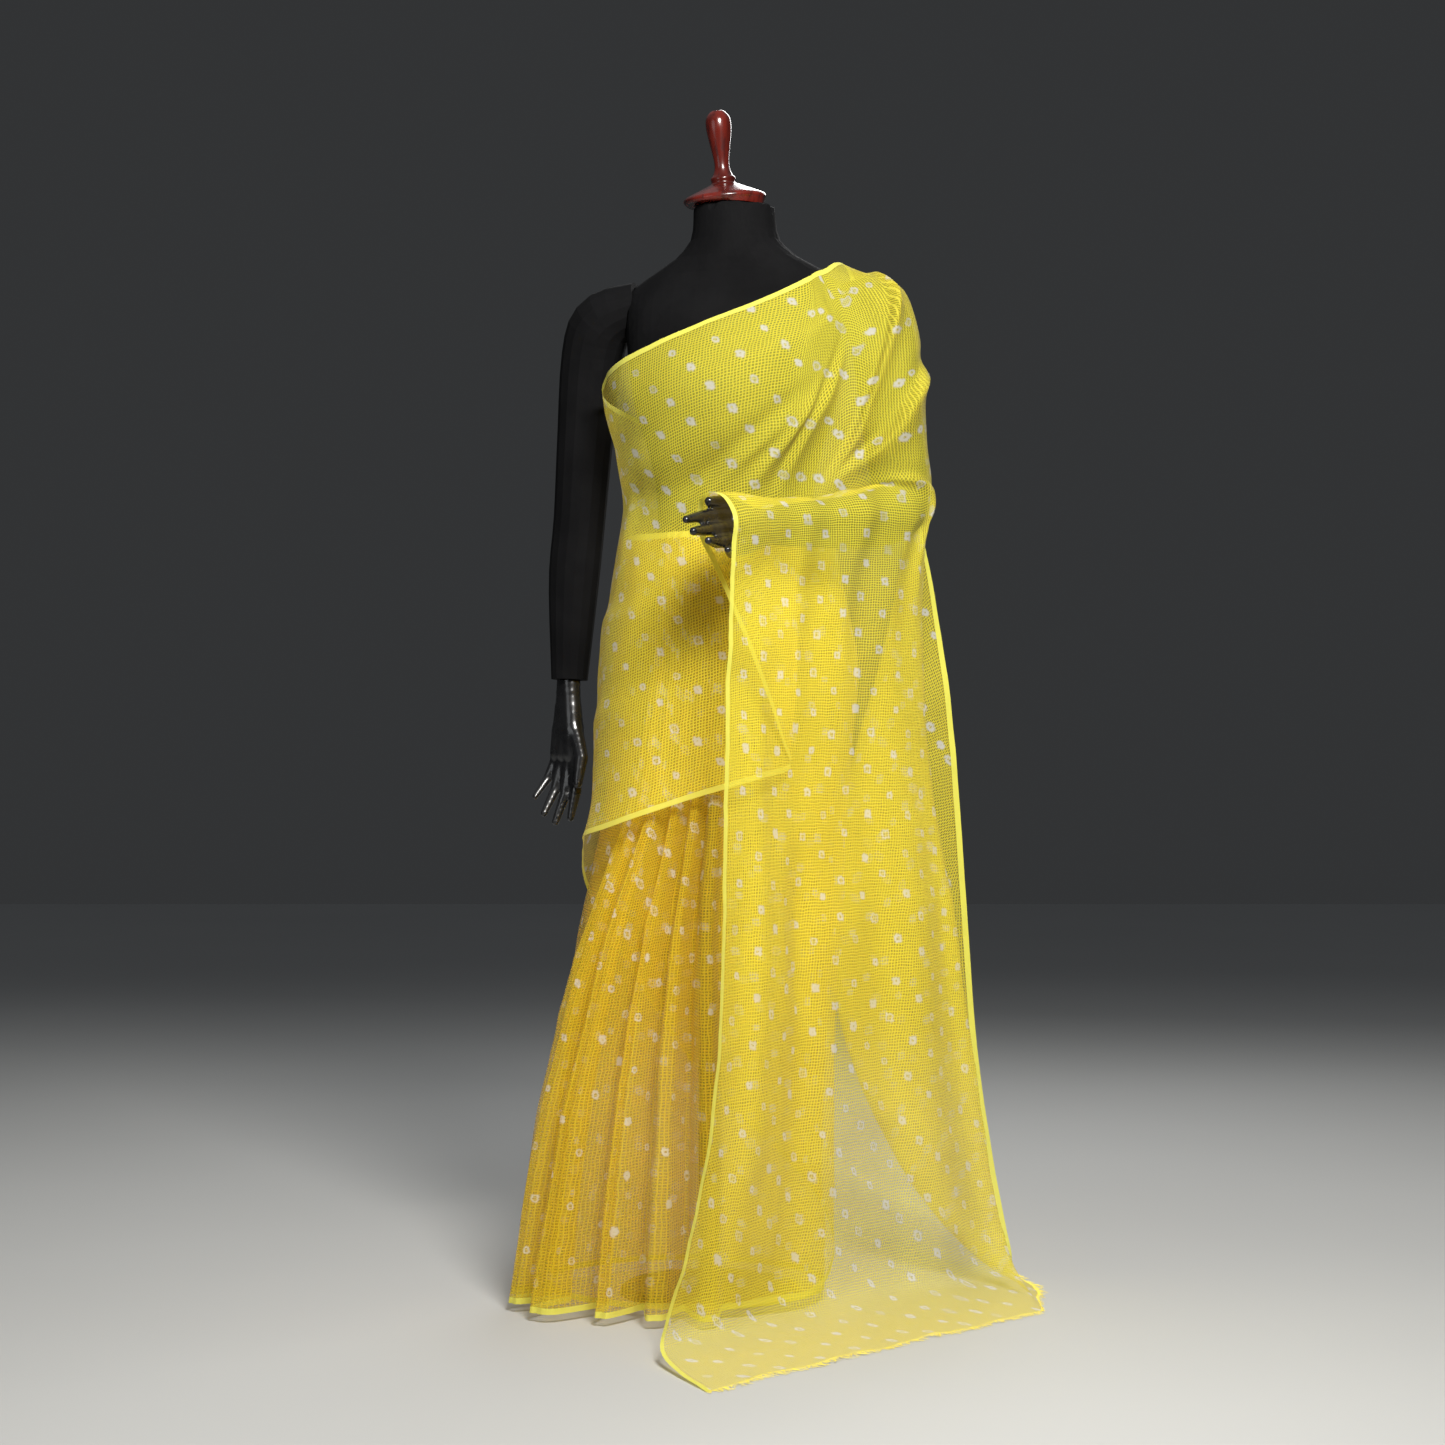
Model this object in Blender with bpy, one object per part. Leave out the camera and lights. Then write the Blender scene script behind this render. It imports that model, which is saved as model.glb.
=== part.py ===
"""A sari in one uncut length, draped on a plain dress form with arms, a neck cap and a round stand.

Metres, +Z up. The origin is on the floor, under the middle of the form. +X is the side of the raised
arm, and the sari's falling end spreads towards -Y. The form's front is turned by BODY_TURN.
"""
import math

import bmesh
import bpy
from mathutils import Vector

# Driving sizes of the form
BODY_TURN = math.radians(18)
NECK_TOP = 1.520
NECK_RADIUS = 0.0575
BUST_HEIGHT = 1.245
BUST_SPACING = 0.076
BUST_DEPTH = 0.030
BUST_SPREAD = 0.048
TORSO_SIDES = 28
ARM_SIDES = 16
ARM_STEPS = 22
PIECE_GAP = 0.0004

# Driving sizes of the cloth
SARI_THICK = 0.0015
ARM_CLEAR = 0.0053
WAIST_HEIGHT = 1.060
HEM_HEIGHT = 0.012
# Rows across the cloth from border B to border A, closest where it bends over the elbow
ROW_RUNS = ((0.00, 0.37, 7), (0.37, 0.67, 10), (0.67, 1.00, 7))
FLOOR_LIFT = 0.0012
FOREARM_OUT = Vector((0.676, -0.737, 0))
GUARD_PASSES = 4
BODY_GUARD_TOP = 1.36
BODY_COVER = 0.029
# How often the cloth over the arm is evened out, and over how many columns that fades away
EASE_PASSES = 10
EASE_FADE = 6

# Stand and cap
POLE_RADIUS = 0.016
BASE_RADIUS = 0.125
BASE_THICK = 0.012
STAND_CENTRE = (-0.035, 0.008)
CAP_CENTRE = (-0.014, -0.006)
CAP_LEAN = math.radians(5)
CAP_SIDES = 24

# Torso: height, half width, half depth, shift to the front
TORSO = (
    (0.730, 0.060, 0.050, 0.000),
    (0.735, 0.110, 0.078, 0.000),
    (0.780, 0.144, 0.100, 0.000),
    (0.870, 0.154, 0.108, 0.000),
    (0.960, 0.138, 0.100, 0.000),
    (1.060, 0.112, 0.084, 0.000),
    (1.150, 0.117, 0.092, 0.000),
    (1.240, 0.144, 0.104, 0.000),
    (1.320, 0.158, 0.104, -0.004),
    (1.370, 0.164, 0.090, -0.008),
    (1.400, 0.168, 0.074, -0.010),
    (1.425, 0.134, 0.064, -0.010),
    (1.445, 0.093, 0.060, -0.006),
    (1.464, 0.064, 0.059, -0.002),
    (NECK_TOP, NECK_RADIUS, NECK_RADIUS, 0.004),
)

# Arm joints: x, y, z, radius
ARM_RIGHT = (
    (-0.132, 0.043, 1.392, 0.031),
    (-0.184, 0.063, 1.368, 0.044),
    (-0.203, 0.078, 1.320, 0.044),
    (-0.214, 0.088, 1.200, 0.040),
    (-0.222, 0.092, 1.090, 0.037),
    (-0.230, 0.090, 1.000, 0.036),
    (-0.236, 0.084, 0.860, 0.026),
)
ARM_LEFT = (
    (0.150, -0.050, 1.372, 0.034),
    (0.184, -0.060, 1.368, 0.044),
    (0.204, -0.066, 1.320, 0.045),
    (0.217, -0.066, 1.200, 0.041),
    (0.228, -0.060, 1.105, 0.039),
    (0.209, -0.076, 1.082, 0.039),
    (0.155, -0.126, 1.071, 0.036),
    (0.055, -0.222, 1.060, 0.027),
)

# Hand bones for a right hand that hangs: along the hand, across to the thumb, radius
PALM = (
    # name, along, across, radius
    ("sleeve end", -0.060, 0.000, 0.0180),
    ("wrist", -0.006, 0.000, 0.0170),
    ("heel", 0.026, 0.000, 0.0190),
    ("palm", 0.060, -0.003, 0.0180),
)
FINGERS = (
    # name, root along, root across, knuckle along, knuckle across, tip along, tip across, radius, curl
    ("thumb", 0.026, 0.018, 0.066, 0.040, 0.104, 0.042, 0.0086, 0.012),
    ("index", 0.068, 0.022, 0.114, 0.026, 0.152, 0.023, 0.0074, 0.010),
    ("middle", 0.070, 0.006, 0.120, 0.006, 0.158, 0.003, 0.0076, 0.022),
    ("ring", 0.068, -0.010, 0.112, -0.014, 0.146, -0.014, 0.0072, 0.030),
    ("little", 0.062, -0.024, 0.096, -0.031, 0.122, -0.031, 0.0064, 0.034),
)
# The left hand under the cloth: how far past the arm's end, radius
HAND_COVER = ((0.030, 0.034), (0.075, 0.041), (0.122, 0.040))
HAND_VOXEL = 0.0042
HAND_TRIANGLES = 900

# Neck cap and finial: height above the neck, radius
CAP_PROFILE = (
    (0.0000, 0.0562),
    (0.0035, 0.0580),
    (0.0070, 0.0568),
    (0.0095, 0.0530),
    (0.0160, 0.0380),
    (0.0225, 0.0235),
    (0.0260, 0.0168),
    (0.0330, 0.0172),
    (0.0380, 0.0135),
    (0.0480, 0.0105),
    (0.0620, 0.0112),
    (0.0900, 0.0160),
    (0.1050, 0.0178),
    (0.1170, 0.0165),
    (0.1255, 0.0100),
    (0.1270, 0.0040),
)

# Cloth round the body: height, centre x, centre y, half width, half depth (before any layer is added)
GIRTH = (
    (0.000, -0.070, 0.005, 0.194, 0.186),
    (0.310, -0.056, 0.003, 0.180, 0.163),
    (0.510, -0.040, 0.002, 0.174, 0.148),
    (0.680, -0.018, 0.000, 0.162, 0.132),
    (0.880, -0.006, 0.000, 0.163, 0.122),
    (0.980, -0.008, 0.000, 0.147, 0.114),
    (1.070, -0.010, -0.002, 0.133, 0.108),
    (1.150, -0.008, -0.006, 0.129, 0.118),
    (1.240, -0.006, -0.010, 0.155, 0.136),
    (1.300, -0.004, -0.006, 0.162, 0.130),
    (1.360, 0.000, 0.002, 0.170, 0.104),
    (1.400, 0.000, 0.006, 0.164, 0.084),
    (1.450, 0.000, 0.008, 0.140, 0.062),
)

# The skirt's turns: share of the row's columns, angle at the waist, angle at the hem, layer
SKIRT = (
    # name, columns, waist angle, hem angle, layer offset
    ("tucked start", 0, -80, -92, 0.000),
    ("first turn, left hip", 7, 90, 85, 0.002),
    ("first turn, back", 4, 180, 178, 0.004),
    ("first turn, right hip", 4, 262, 255, 0.006),
    ("pleats begin", 3, 338, 299, 0.008),
    ("pleats end", 36, 369, 393, 0.012),
)

# Front pleats from the right hip to the middle: share of the width, share of the depth
PLEATS = (
    ("outer", 0.158, 0.62),
    ("second", 0.141, 0.95),
    ("broad", 0.216, 1.15),
    ("fourth", 0.158, 0.90),
    ("inner", 0.158, 0.85),
    ("behind the falling end", 0.169, 0.90),
)
# How much of a pleat's width its front edge and its back slope take; the rest lies flat
PLEAT_EDGE = 0.30
PLEAT_BACK = 0.42
PLEAT_DEPTH = (
    # height, depth
    (0.00, 0.080),
    (0.30, 0.062),
    (0.55, 0.040),
    (0.70, 0.023),
    (0.90, 0.012),
    (1.06, 0.008),
)

# The second turn and the chest: columns, angle at each edge, height at each edge, layer
WRAP = (
    # name, columns, angle at border B, angle at border A, height of B, height of A, layer
    ("past the pleats", 3, 410, 392, 0.020, 1.068, 0.016),
    ("left hip", 3, 450, 450, 0.040, 1.072, 0.016),
    ("back", 4, 540, 540, 0.235, 1.130, 0.018),
    ("right back", 4, 600, 600, 0.490, 1.225, 0.021),
    ("right side", 3, 646, 646, 0.612, 1.262, 0.024),
    ("right front", 3, 690, 684, 0.655, 1.296, 0.026),
    ("middle", 3, 727, 722, 0.700, 1.346, 0.027),
    ("left front", 3, 762, 764, 0.737, 1.408, 0.026),
)

# The falling end: border B, the right-hand fold, the fold turned in behind it, and border A
FALL = (
    # name, columns, B, fold, inner fold, A
    ("under the arm", 3, (-0.016, -0.325, 0.975), (0.262, -0.078, 1.010), (0.246, 0.040, 1.050),
     (0.272, 0.085, 1.130)),
    ("hip", 3, (-0.022, -0.342, 0.780), (0.274, -0.035, 0.770), (0.158, 0.098, 0.800),
     (0.318, 0.110, 0.850)),
    ("thigh", 3, (-0.027, -0.370, 0.520), (0.305, -0.015, 0.530), (0.112, 0.128, 0.550),
     (0.342, 0.130, 0.590)),
    ("knee", 3, (-0.045, -0.395, 0.280), (0.338, 0.015, 0.300), (0.160, 0.130, 0.310),
     (0.362, 0.145, 0.330)),
    ("shin", 3, (-0.080, -0.430, 0.110), (0.368, 0.035, 0.130), (0.250, 0.115, 0.130),
     (0.392, 0.155, 0.130)),
    ("crease", 2, (-0.102, -0.470, 0.020), (0.392, 0.015, 0.040), (0.340, 0.075, 0.035),
     (0.408, 0.140, 0.035)),
    ("end", 2, (-0.038, -0.620, 0.000), (0.418, -0.116, 0.000), (0.420, 0.040, 0.000),
     (0.400, 0.150, 0.000)),
)
# How the cloth lies over the left arm: share across the cloth, what it turns over, the way to the
# body's side and the way over the top
ARM_LAY = (
    (0.00, "hand", (-0.68, 0.74, 0.0), (0.0, 0.0, 1.0)),
    (0.14, "7", (-0.68, 0.74, 0.0), (0.0, 0.0, 1.0)),
    (0.30, "6", (-0.68, 0.74, 0.0), (0.0, 0.0, 1.0)),
    (0.42, "5", (-0.70, -0.10, 0.7), (0.1, -0.3, 0.95)),
    (0.50, "4", (-0.65, -0.65, 0.4), (0.65, -0.60, 0.45)),
    (0.64, "3", (-0.75, -0.66, 0.0), (0.66, -0.75, 0.0)),
    (0.78, "2", (-0.60, -0.80, 0.0), (0.80, -0.60, 0.1)),
    (0.90, "1", (-0.30, -0.95, 0.0), (0.45, -0.15, 0.9)),
    (1.00, "shoulder top", (-0.30, -1.00, 0.5), (0.05, 0.0, 1.0)),
)
ARM_TURNS = (25, 65, 105, 150)
SHOULDER_TOP = (0.140, -0.048, 1.388, 0.042)
ARM_APPROACH = (
    (0.00, (0.048, -0.220, 0.850)),
    (0.18, (0.064, -0.168, 0.995)),
    (0.30, (0.092, -0.130, 1.040)),
    (0.42, (0.120, -0.106, 1.098)),
    (0.55, (0.150, -0.106, 1.160)),
    (0.78, (0.148, -0.122, 1.290)),
    (0.90, (0.136, -0.106, 1.370)),
    (1.00, (0.114, -0.080, 1.422)),
)
FOLD_SHARE = 0.58
INNER_SHARE = 0.78
# Soft ripples down the falling end: waves across, depth, lean of each wave along its length
RIPPLES = ((2.5, 0.012, 0.4), (6.5, 0.008, 1.9))


def spread(start, end, count):
    """Evenly spaced values, both ends among them."""
    return [start + (end - start) * k / (count - 1) for k in range(count)]


def row_shares():
    """The rows' places across the cloth, from 0 at border B to 1 at border A."""
    shares = [0.0]
    for low, high, count in ROW_RUNS:
        shares += spread(low, high, count + 1)[1:]
    return shares


def smooth_step(t):
    t = min(max(t, 0.0), 1.0)
    return t * t * (3 - 2 * t)


def read_table(table, at, column):
    """A smooth value of one column of a table whose first column rises."""
    keys = [row[0] for row in table]
    if at <= keys[0]:
        return table[0][column]
    if at >= keys[-1]:
        return table[-1][column]
    i = max(k for k in range(len(keys) - 1) if keys[k] <= at)
    return curve_through([row[column] for row in table], keys, i, at)


def curve_through(values, keys, i, at):
    """The value at a place between keys i and i + 1, on a curve through all the values."""
    def slope(k):
        low, high = max(k - 1, 0), min(k + 1, len(keys) - 1)
        return (values[high] - values[low]) / (keys[high] - keys[low])
    step = keys[i + 1] - keys[i]
    t = (at - keys[i]) / step
    start, end = values[i], values[i + 1]
    return ((2 * t**3 - 3 * t**2 + 1) * start + (t**3 - 2 * t**2 + t) * step * slope(i)
            + (3 * t**2 - 2 * t**3) * end + (t**3 - t**2) * step * slope(i + 1))


def turned(across, front, height):
    """A point given across the form to its left and towards its front."""
    c, s = math.cos(BODY_TURN), math.sin(BODY_TURN)
    return Vector((across * c - front * s, -across * s - front * c, height))


def new_object(name, mesh, colour, roughness):
    obj = bpy.data.objects.new(name, mesh)
    bpy.context.scene.collection.objects.link(obj)
    material = bpy.data.materials.new(name)
    material.use_nodes = True
    shader = material.node_tree.nodes["Principled BSDF"]
    shader.inputs["Base Color"].default_value = (*colour, 1)
    shader.inputs["Roughness"].default_value = roughness
    mesh.materials.append(material)
    mesh.shade_smooth()
    mesh.set_sharp_from_angle(angle=math.radians(50))
    return obj


def mesh_from(name, points, faces):
    mesh = bpy.data.meshes.new(name)
    mesh.from_pydata([tuple(p) for p in points], [], faces)
    mesh.update()
    return mesh


def ring_mesh(name, rings):
    """A closed skin over rings of points, with a flat face at each end."""
    sides = len(rings[0])
    points = [p for ring in rings for p in ring]
    faces = []
    for r in range(len(rings) - 1):
        for k in range(sides):
            n = (k + 1) % sides
            faces.append((r * sides + k, r * sides + n, (r + 1) * sides + n, (r + 1) * sides + k))
    faces.append(tuple(reversed(range(sides))))
    last = (len(rings) - 1) * sides
    faces.append(tuple(range(last, last + sides)))
    mesh = mesh_from(name, points, faces)
    bm = bmesh.new()
    bm.from_mesh(mesh)
    bmesh.ops.recalc_face_normals(bm, faces=bm.faces)
    bm.to_mesh(mesh)
    bm.free()
    return mesh


def torso_ring(height, half_width, half_depth, shift, grow):
    ring = []
    for k in range(TORSO_SIDES):
        angle = 2 * math.pi * k / TORSO_SIDES
        across = (half_width + grow) * math.sin(angle)
        front = (half_depth + grow) * math.cos(angle) + shift
        bust = 0.0
        if math.cos(angle) > 0:
            for side in (-1, 1):
                far = ((across - side * BUST_SPACING)**2 + (height - BUST_HEIGHT)**2) / BUST_SPREAD**2
                bust += BUST_DEPTH * math.exp(-far)
        ring.append(turned(across, front + bust * math.cos(angle)**0.5 if bust else front, height))
    return ring


def torso_mesh(name, grow):
    heights = spread(TORSO[1][0], TORSO[-1][0], 34)
    rings = [torso_ring(*TORSO[0], grow)]
    for z in heights:
        rings.append(torso_ring(z, *(read_table(TORSO, z, c) for c in (1, 2, 3)), grow))
    return ring_mesh(name, rings)


def tube_rings(path, sides, steps):
    """Rings round a smooth path of points with a radius each."""
    centres, radii = tube_line(path, steps)
    rings = []
    side = Vector((0, 1, 0))
    for k, centre in enumerate(centres):
        ahead = (centres[min(k + 1, steps - 1)] - centres[max(k - 1, 0)]).normalized()
        side = (side - ahead * side.dot(ahead)).normalized()
        up = ahead.cross(side)
        rings.append([centre + radii[k] * (math.cos(a) * side + math.sin(a) * up)
                      for a in (2 * math.pi * j / sides for j in range(sides))])
    return rings


def tube_line(path, steps):
    """The centres and radii of a tube, at even steps along its path."""
    keys = list(range(len(path)))
    centres, radii = [], []
    for at in spread(0, len(path) - 1, steps):
        i = min(int(at), len(path) - 2)
        centres.append(Vector([curve_through([p[c] for p in path], keys, i, at) for c in range(3)]))
        radii.append(curve_through([p[3] for p in path], keys, i, at))
    return centres, radii


def tube_end(path):
    """The last centre of an arm's tube and the way that it points."""
    centres, _ = tube_line(path, ARM_STEPS)
    return centres[-1], (centres[-1] - centres[-2]).normalized()


def make_arm(name, path, cutter):
    arm = new_object(name, ring_mesh(name, tube_rings(path, ARM_SIDES, ARM_STEPS)), (0.012, 0.012, 0.013), 0.85)
    cut = arm.modifiers.new("clear of the torso", "BOOLEAN")
    cut.operation = "DIFFERENCE"
    cut.solver = "EXACT"
    cut.object = cutter
    return arm


def bone(bm, start, end, r_start, r_end):
    """A round-ended bar between two points."""
    steps = 5
    for k in range(steps + 1):
        t = k / steps
        centre = start.lerp(end, t)
        radius = r_start + (r_end - r_start) * t
        made = bmesh.ops.create_icosphere(bm, subdivisions=2, radius=radius)
        bmesh.ops.translate(bm, verts=made["verts"], vec=centre)


def make_hand(name, wrist, ahead, thumb_way, mirror):
    """A relaxed hand whose length runs along ahead and whose thumb lies towards thumb_way."""
    ahead = Vector(ahead).normalized()
    thumb_way = Vector(thumb_way)
    thumb_way = (thumb_way - ahead * thumb_way.dot(ahead)).normalized()
    palm_way = ahead.cross(thumb_way) * mirror
    wrist = Vector(wrist)

    def place(along, across, curl):
        return wrist + ahead * along + thumb_way * across + palm_way * curl

    bm = bmesh.new()
    for row, nxt in zip(PALM, PALM[1:]):
        for shift in (-0.010, 0.000, 0.010):
            bone(bm, place(row[1], row[2] + shift * (1 + row[1] * 12), 0),
                 place(nxt[1], nxt[2] + shift * (1 + nxt[1] * 12), 0), row[3] * 0.8, nxt[3] * 0.72)
    for _, root, r_side, knuckle, k_side, tip, t_side, radius, curl in FINGERS:
        bone(bm, place(root, r_side, 0), place(knuckle, k_side, curl * 0.35), radius * 1.15, radius)
        bone(bm, place(knuckle, k_side, curl * 0.35), place(tip, t_side, curl), radius, radius * 0.72)
    mesh = bpy.data.meshes.new(name)
    bm.to_mesh(mesh)
    bm.free()
    hand = new_object(name, mesh, (0.010, 0.010, 0.010), 0.22)
    skin = hand.modifiers.new("one skin", "REMESH")
    skin.mode = "VOXEL"
    skin.voxel_size = HAND_VOXEL
    ease = hand.modifiers.new("ease", "SMOOTH")
    ease.factor = 0.5
    ease.iterations = 3
    depsgraph = bpy.context.evaluated_depsgraph_get()
    full = bpy.data.meshes.new_from_object(hand.evaluated_get(depsgraph))
    triangles = sum(len(p.vertices) - 2 for p in full.polygons)
    bpy.data.meshes.remove(full)
    thin = hand.modifiers.new("fewer faces", "DECIMATE")
    thin.ratio = min(1.0, HAND_TRIANGLES / triangles)
    return hand


def cut_flat(obj, point, ahead):
    """Applies an object's modifiers, cuts it by a plane, keeps what lies ahead and closes the cut."""
    depsgraph = bpy.context.evaluated_depsgraph_get()
    mesh = bpy.data.meshes.new_from_object(obj.evaluated_get(depsgraph))
    obj.modifiers.clear()
    bm = bmesh.new()
    bm.from_mesh(mesh)
    cut = bmesh.ops.bisect_plane(bm, geom=bm.verts[:] + bm.edges[:] + bm.faces[:], plane_co=point,
                                 plane_no=ahead, clear_inner=True)
    edges = [e for e in cut["geom_cut"] if isinstance(e, bmesh.types.BMEdge)]
    bmesh.ops.edgeloop_fill(bm, edges=edges)
    bmesh.ops.recalc_face_normals(bm, faces=bm.faces)
    bm.to_mesh(mesh)
    bm.free()
    obj.data = mesh


def make_cap():
    """The plate has a level foot on the neck, and all above it leans to the right and forward."""
    axis = Vector((-math.sin(CAP_LEAN), -math.sin(CAP_LEAN) * 0.6, 1)).normalized()
    side = axis.cross(Vector((0, 1, 0))).normalized()
    other = axis.cross(side)
    foot = Vector((CAP_CENTRE[0], CAP_CENTRE[1], NECK_TOP + PIECE_GAP))
    base = foot + Vector((0, 0, CAP_PROFILE[0][1] * math.tan(CAP_LEAN) * 1.25))
    turns = [2 * math.pi * k / CAP_SIDES for k in range(CAP_SIDES)]
    rings = [[foot + CAP_PROFILE[0][1] * 0.96 * Vector((math.cos(a), -math.sin(a), 0)) for a in turns]]
    for up, radius in CAP_PROFILE:
        rings.append([base + axis * up + radius * (math.cos(a) * side * -1 + math.sin(a) * other)
                      for a in turns])
    return new_object("neck_cap", ring_mesh("neck_cap", rings), (0.070, 0.008, 0.006), 0.18)


def make_turned(name, profile, sides, colour, roughness):
    cx, cy = STAND_CENTRE
    rings = [[Vector((cx + r * math.cos(a), cy + r * math.sin(a), z))
              for a in (2 * math.pi * k / sides for k in range(sides))] for z, r in profile]
    return new_object(name, ring_mesh(name, rings), colour, roughness)


def girth_point(angle, height, layer):
    """A point of the cloth round the body, at an angle from the form's front to its left."""
    a = math.radians(angle)
    cx, cy, wide, deep = (read_table(GIRTH, height, c) for c in (1, 2, 3, 4))
    spot = turned((wide + layer) * math.sin(a), (deep + layer) * math.cos(a), height)
    return spot + Vector((cx, cy, 0))


def pleat_wave(t):
    """How far the front pleats stand out, from 0 to 1, at a share t of their width."""
    done = 0.0
    for _, width, depth in PLEATS:
        if t <= done + width:
            place = (t - done) / width
            return depth * min(smooth_step(place / PLEAT_EDGE), smooth_step((1 - place) / PLEAT_BACK))
        done += width
    return 0.0


def skirt_columns():
    """The first turn and the front pleats, each column running from the hem up to the waist."""
    columns = []
    for row, nxt in zip(SKIRT, SKIRT[1:]):
        count = nxt[1]
        for k in range(count):
            t = k / count
            waist, hem, layer = (row[c] + (nxt[c] - row[c]) * t for c in (2, 3, 4))
            wave = pleat_wave(t) if nxt[0] == "pleats end" else 0.0
            columns.append(skirt_column(waist, hem, layer, wave))
    return columns


def skirt_column(waist, hem, layer, wave):
    column = []
    for v in row_shares():
        height = HEM_HEIGHT + (WAIST_HEIGHT - HEM_HEIGHT) * v
        angle = hem + (waist - hem) * smooth_step(v)
        depth = read_table(PLEAT_DEPTH, height, 1)
        column.append(girth_point(angle, height, layer + wave * depth))
    return column


def front_cover(angle, height):
    """How far the second turn stands off to lie over the pleats, near the form's front."""
    near = min(smooth_step((angle - 652) / 32), smooth_step((775 - angle) / 35))
    return near * read_table(PLEAT_DEPTH, height, 1) * 1.10


def wrap_columns():
    """The second turn, which climbs round the back and crosses the chest."""
    keys = list(range(-1, len(WRAP)))
    start = ("pleats end", 0, SKIRT[-1][3], SKIRT[-1][2], HEM_HEIGHT, WAIST_HEIGHT, SKIRT[-1][4])
    rows = (start, *WRAP)
    columns = []
    for i in range(len(rows) - 1):
        count = rows[i + 1][1]
        for k in range(count):
            at = keys[i] + k / count
            b_angle, a_angle, b_height, a_height, layer = (
                curve_through([r[c] for r in rows], keys, i, at) for c in range(2, 7))
            columns.append(wrap_column(b_angle, a_angle, b_height, a_height, layer))
    last = rows[-1]
    columns.append(wrap_column(*last[2:7]))
    return columns


def wrap_column(b_angle, a_angle, b_height, a_height, layer):
    column = []
    for v in row_shares():
        height = b_height + (a_height - b_height) * v
        angle = b_angle + (a_angle - b_angle) * (smooth_step(v) if b_angle < 400 else v)
        column.append(girth_point(angle, height, layer + front_cover(angle, height)))
    return column


def along(points, v):
    """A point on a smooth curve through (share, point) pairs."""
    keys = [p[0] for p in points]
    i = max(k for k in range(len(keys) - 1) if keys[k] <= max(v, keys[0]))
    return Vector([curve_through([p[1][c] for p in points], keys, i, v) for c in range(3)])


def lay_centres():
    """The middles and radii that the cloth turns over: the hand, the arm's joints and the shoulder."""
    end, reach = tube_end(ARM_LEFT)
    hand = (*(end + reach * HAND_COVER[2][0]), HAND_COVER[2][1])
    return {"hand": hand, "shoulder top": SHOULDER_TOP,
            **{str(k): joint for k, joint in enumerate(ARM_LEFT)}}


def lay_over_arm(turn):
    """A line along the arm at one turn over it: 0 on the body's side, 90 on top, 180 outside."""
    centres = lay_centres()
    line = []
    for share, place, inward, over in ARM_LAY:
        x, y, z, radius = centres[place]
        a = math.radians(turn)
        way = Vector(inward).normalized() * math.cos(a) + Vector(over).normalized() * math.sin(a)
        line.append((share, Vector((x, y, z)) + way.normalized() * (radius + ARM_CLEAR)))
    return line


def inside_arm():
    """Where the cloth comes to the arm, inside the forearm and before the upper arm."""
    return [(share, Vector(place)) for share, place in ARM_APPROACH]


def fall_line(row):
    """A line across the falling end, through its two borders and its two folds."""
    b, fold, inner, a = (Vector(p) for p in row[2:6])
    return (
        (0.00, b),
        (FOLD_SHARE / 2, b.lerp(fold, 0.50)),
        (FOLD_SHARE - 0.05, b.lerp(fold, 0.95) + Vector((0.004, -0.006, 0))),
        (FOLD_SHARE, fold),
        (INNER_SHARE - 0.04, inner.lerp(fold, 0.16) + Vector((0, -0.006, 0))),
        (INNER_SHARE, inner),
        (INNER_SHARE + 0.05, inner.lerp(a, 0.16) + Vector((0, 0.010, 0))),
        (1.00, a),
    )


def ripple(v, drop):
    """Soft ripples of the falling end, none at the arm or at the end on the floor."""
    size = 0.0
    for waves, depth, lean in RIPPLES:
        size += depth * math.sin(2 * math.pi * waves * v + lean + 1.3 * drop)
    return size * min(1.0, 2.5 * drop) * min(1.0, 6 * (1 - drop))


def arm_guard():
    """The left shoulder, arm and back of the hand as centres and radii, for the cloth to lie over."""
    end, reach = tube_end(ARM_LEFT)
    hand = [(*(end + reach * far), radius) for far, radius in HAND_COVER]
    return tube_line((SHOULDER_TOP, *ARM_LEFT, *hand), ARM_STEPS * 2)


def clear_of_arm(spot, guard):
    """A point of the cloth, moved straight out of the arm where it would be too near."""
    for _ in range(GUARD_PASSES):
        short, away = most_short(spot, *guard)
        if short <= 0:
            break
        spot = spot + away.normalized() * short
    return spot


def most_short(spot, centres, radii):
    """How deep a point lies inside the arm's clearance, and the way out."""
    best = None
    for k in range(len(centres) - 1):
        run = centres[k + 1] - centres[k]
        t = min(max((spot - centres[k]).dot(run) / run.length_squared, 0), 1)
        away = spot - centres[k] - run * t
        short = radii[k] + (radii[k + 1] - radii[k]) * t + ARM_CLEAR - away.length
        if best is None or short > best[0]:
            best = (short, away)
    return best


def clear_of_body(spot):
    """A point of the cloth before the arm, moved straight out of the layers already on the body."""
    if spot.z > BODY_GUARD_TOP:
        return spot
    cx, cy, wide, deep = (read_table(GIRTH, spot.z, c) for c in (1, 2, 3, 4))
    flat = Vector((spot.x - cx, spot.y - cy, 0))
    c, s = math.cos(BODY_TURN), math.sin(BODY_TURN)
    across, front = flat.x * c - flat.y * s, -flat.x * s - flat.y * c
    angle = 720 + math.degrees(math.atan2(across / wide, front / deep))
    cover = BODY_COVER + front_cover(angle, spot.z)
    share = math.hypot(across / (wide + cover), front / (deep + cover))
    if share < 1:
        flat /= share
    return Vector((flat.x + cx, flat.y + cy, spot.z))


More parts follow.
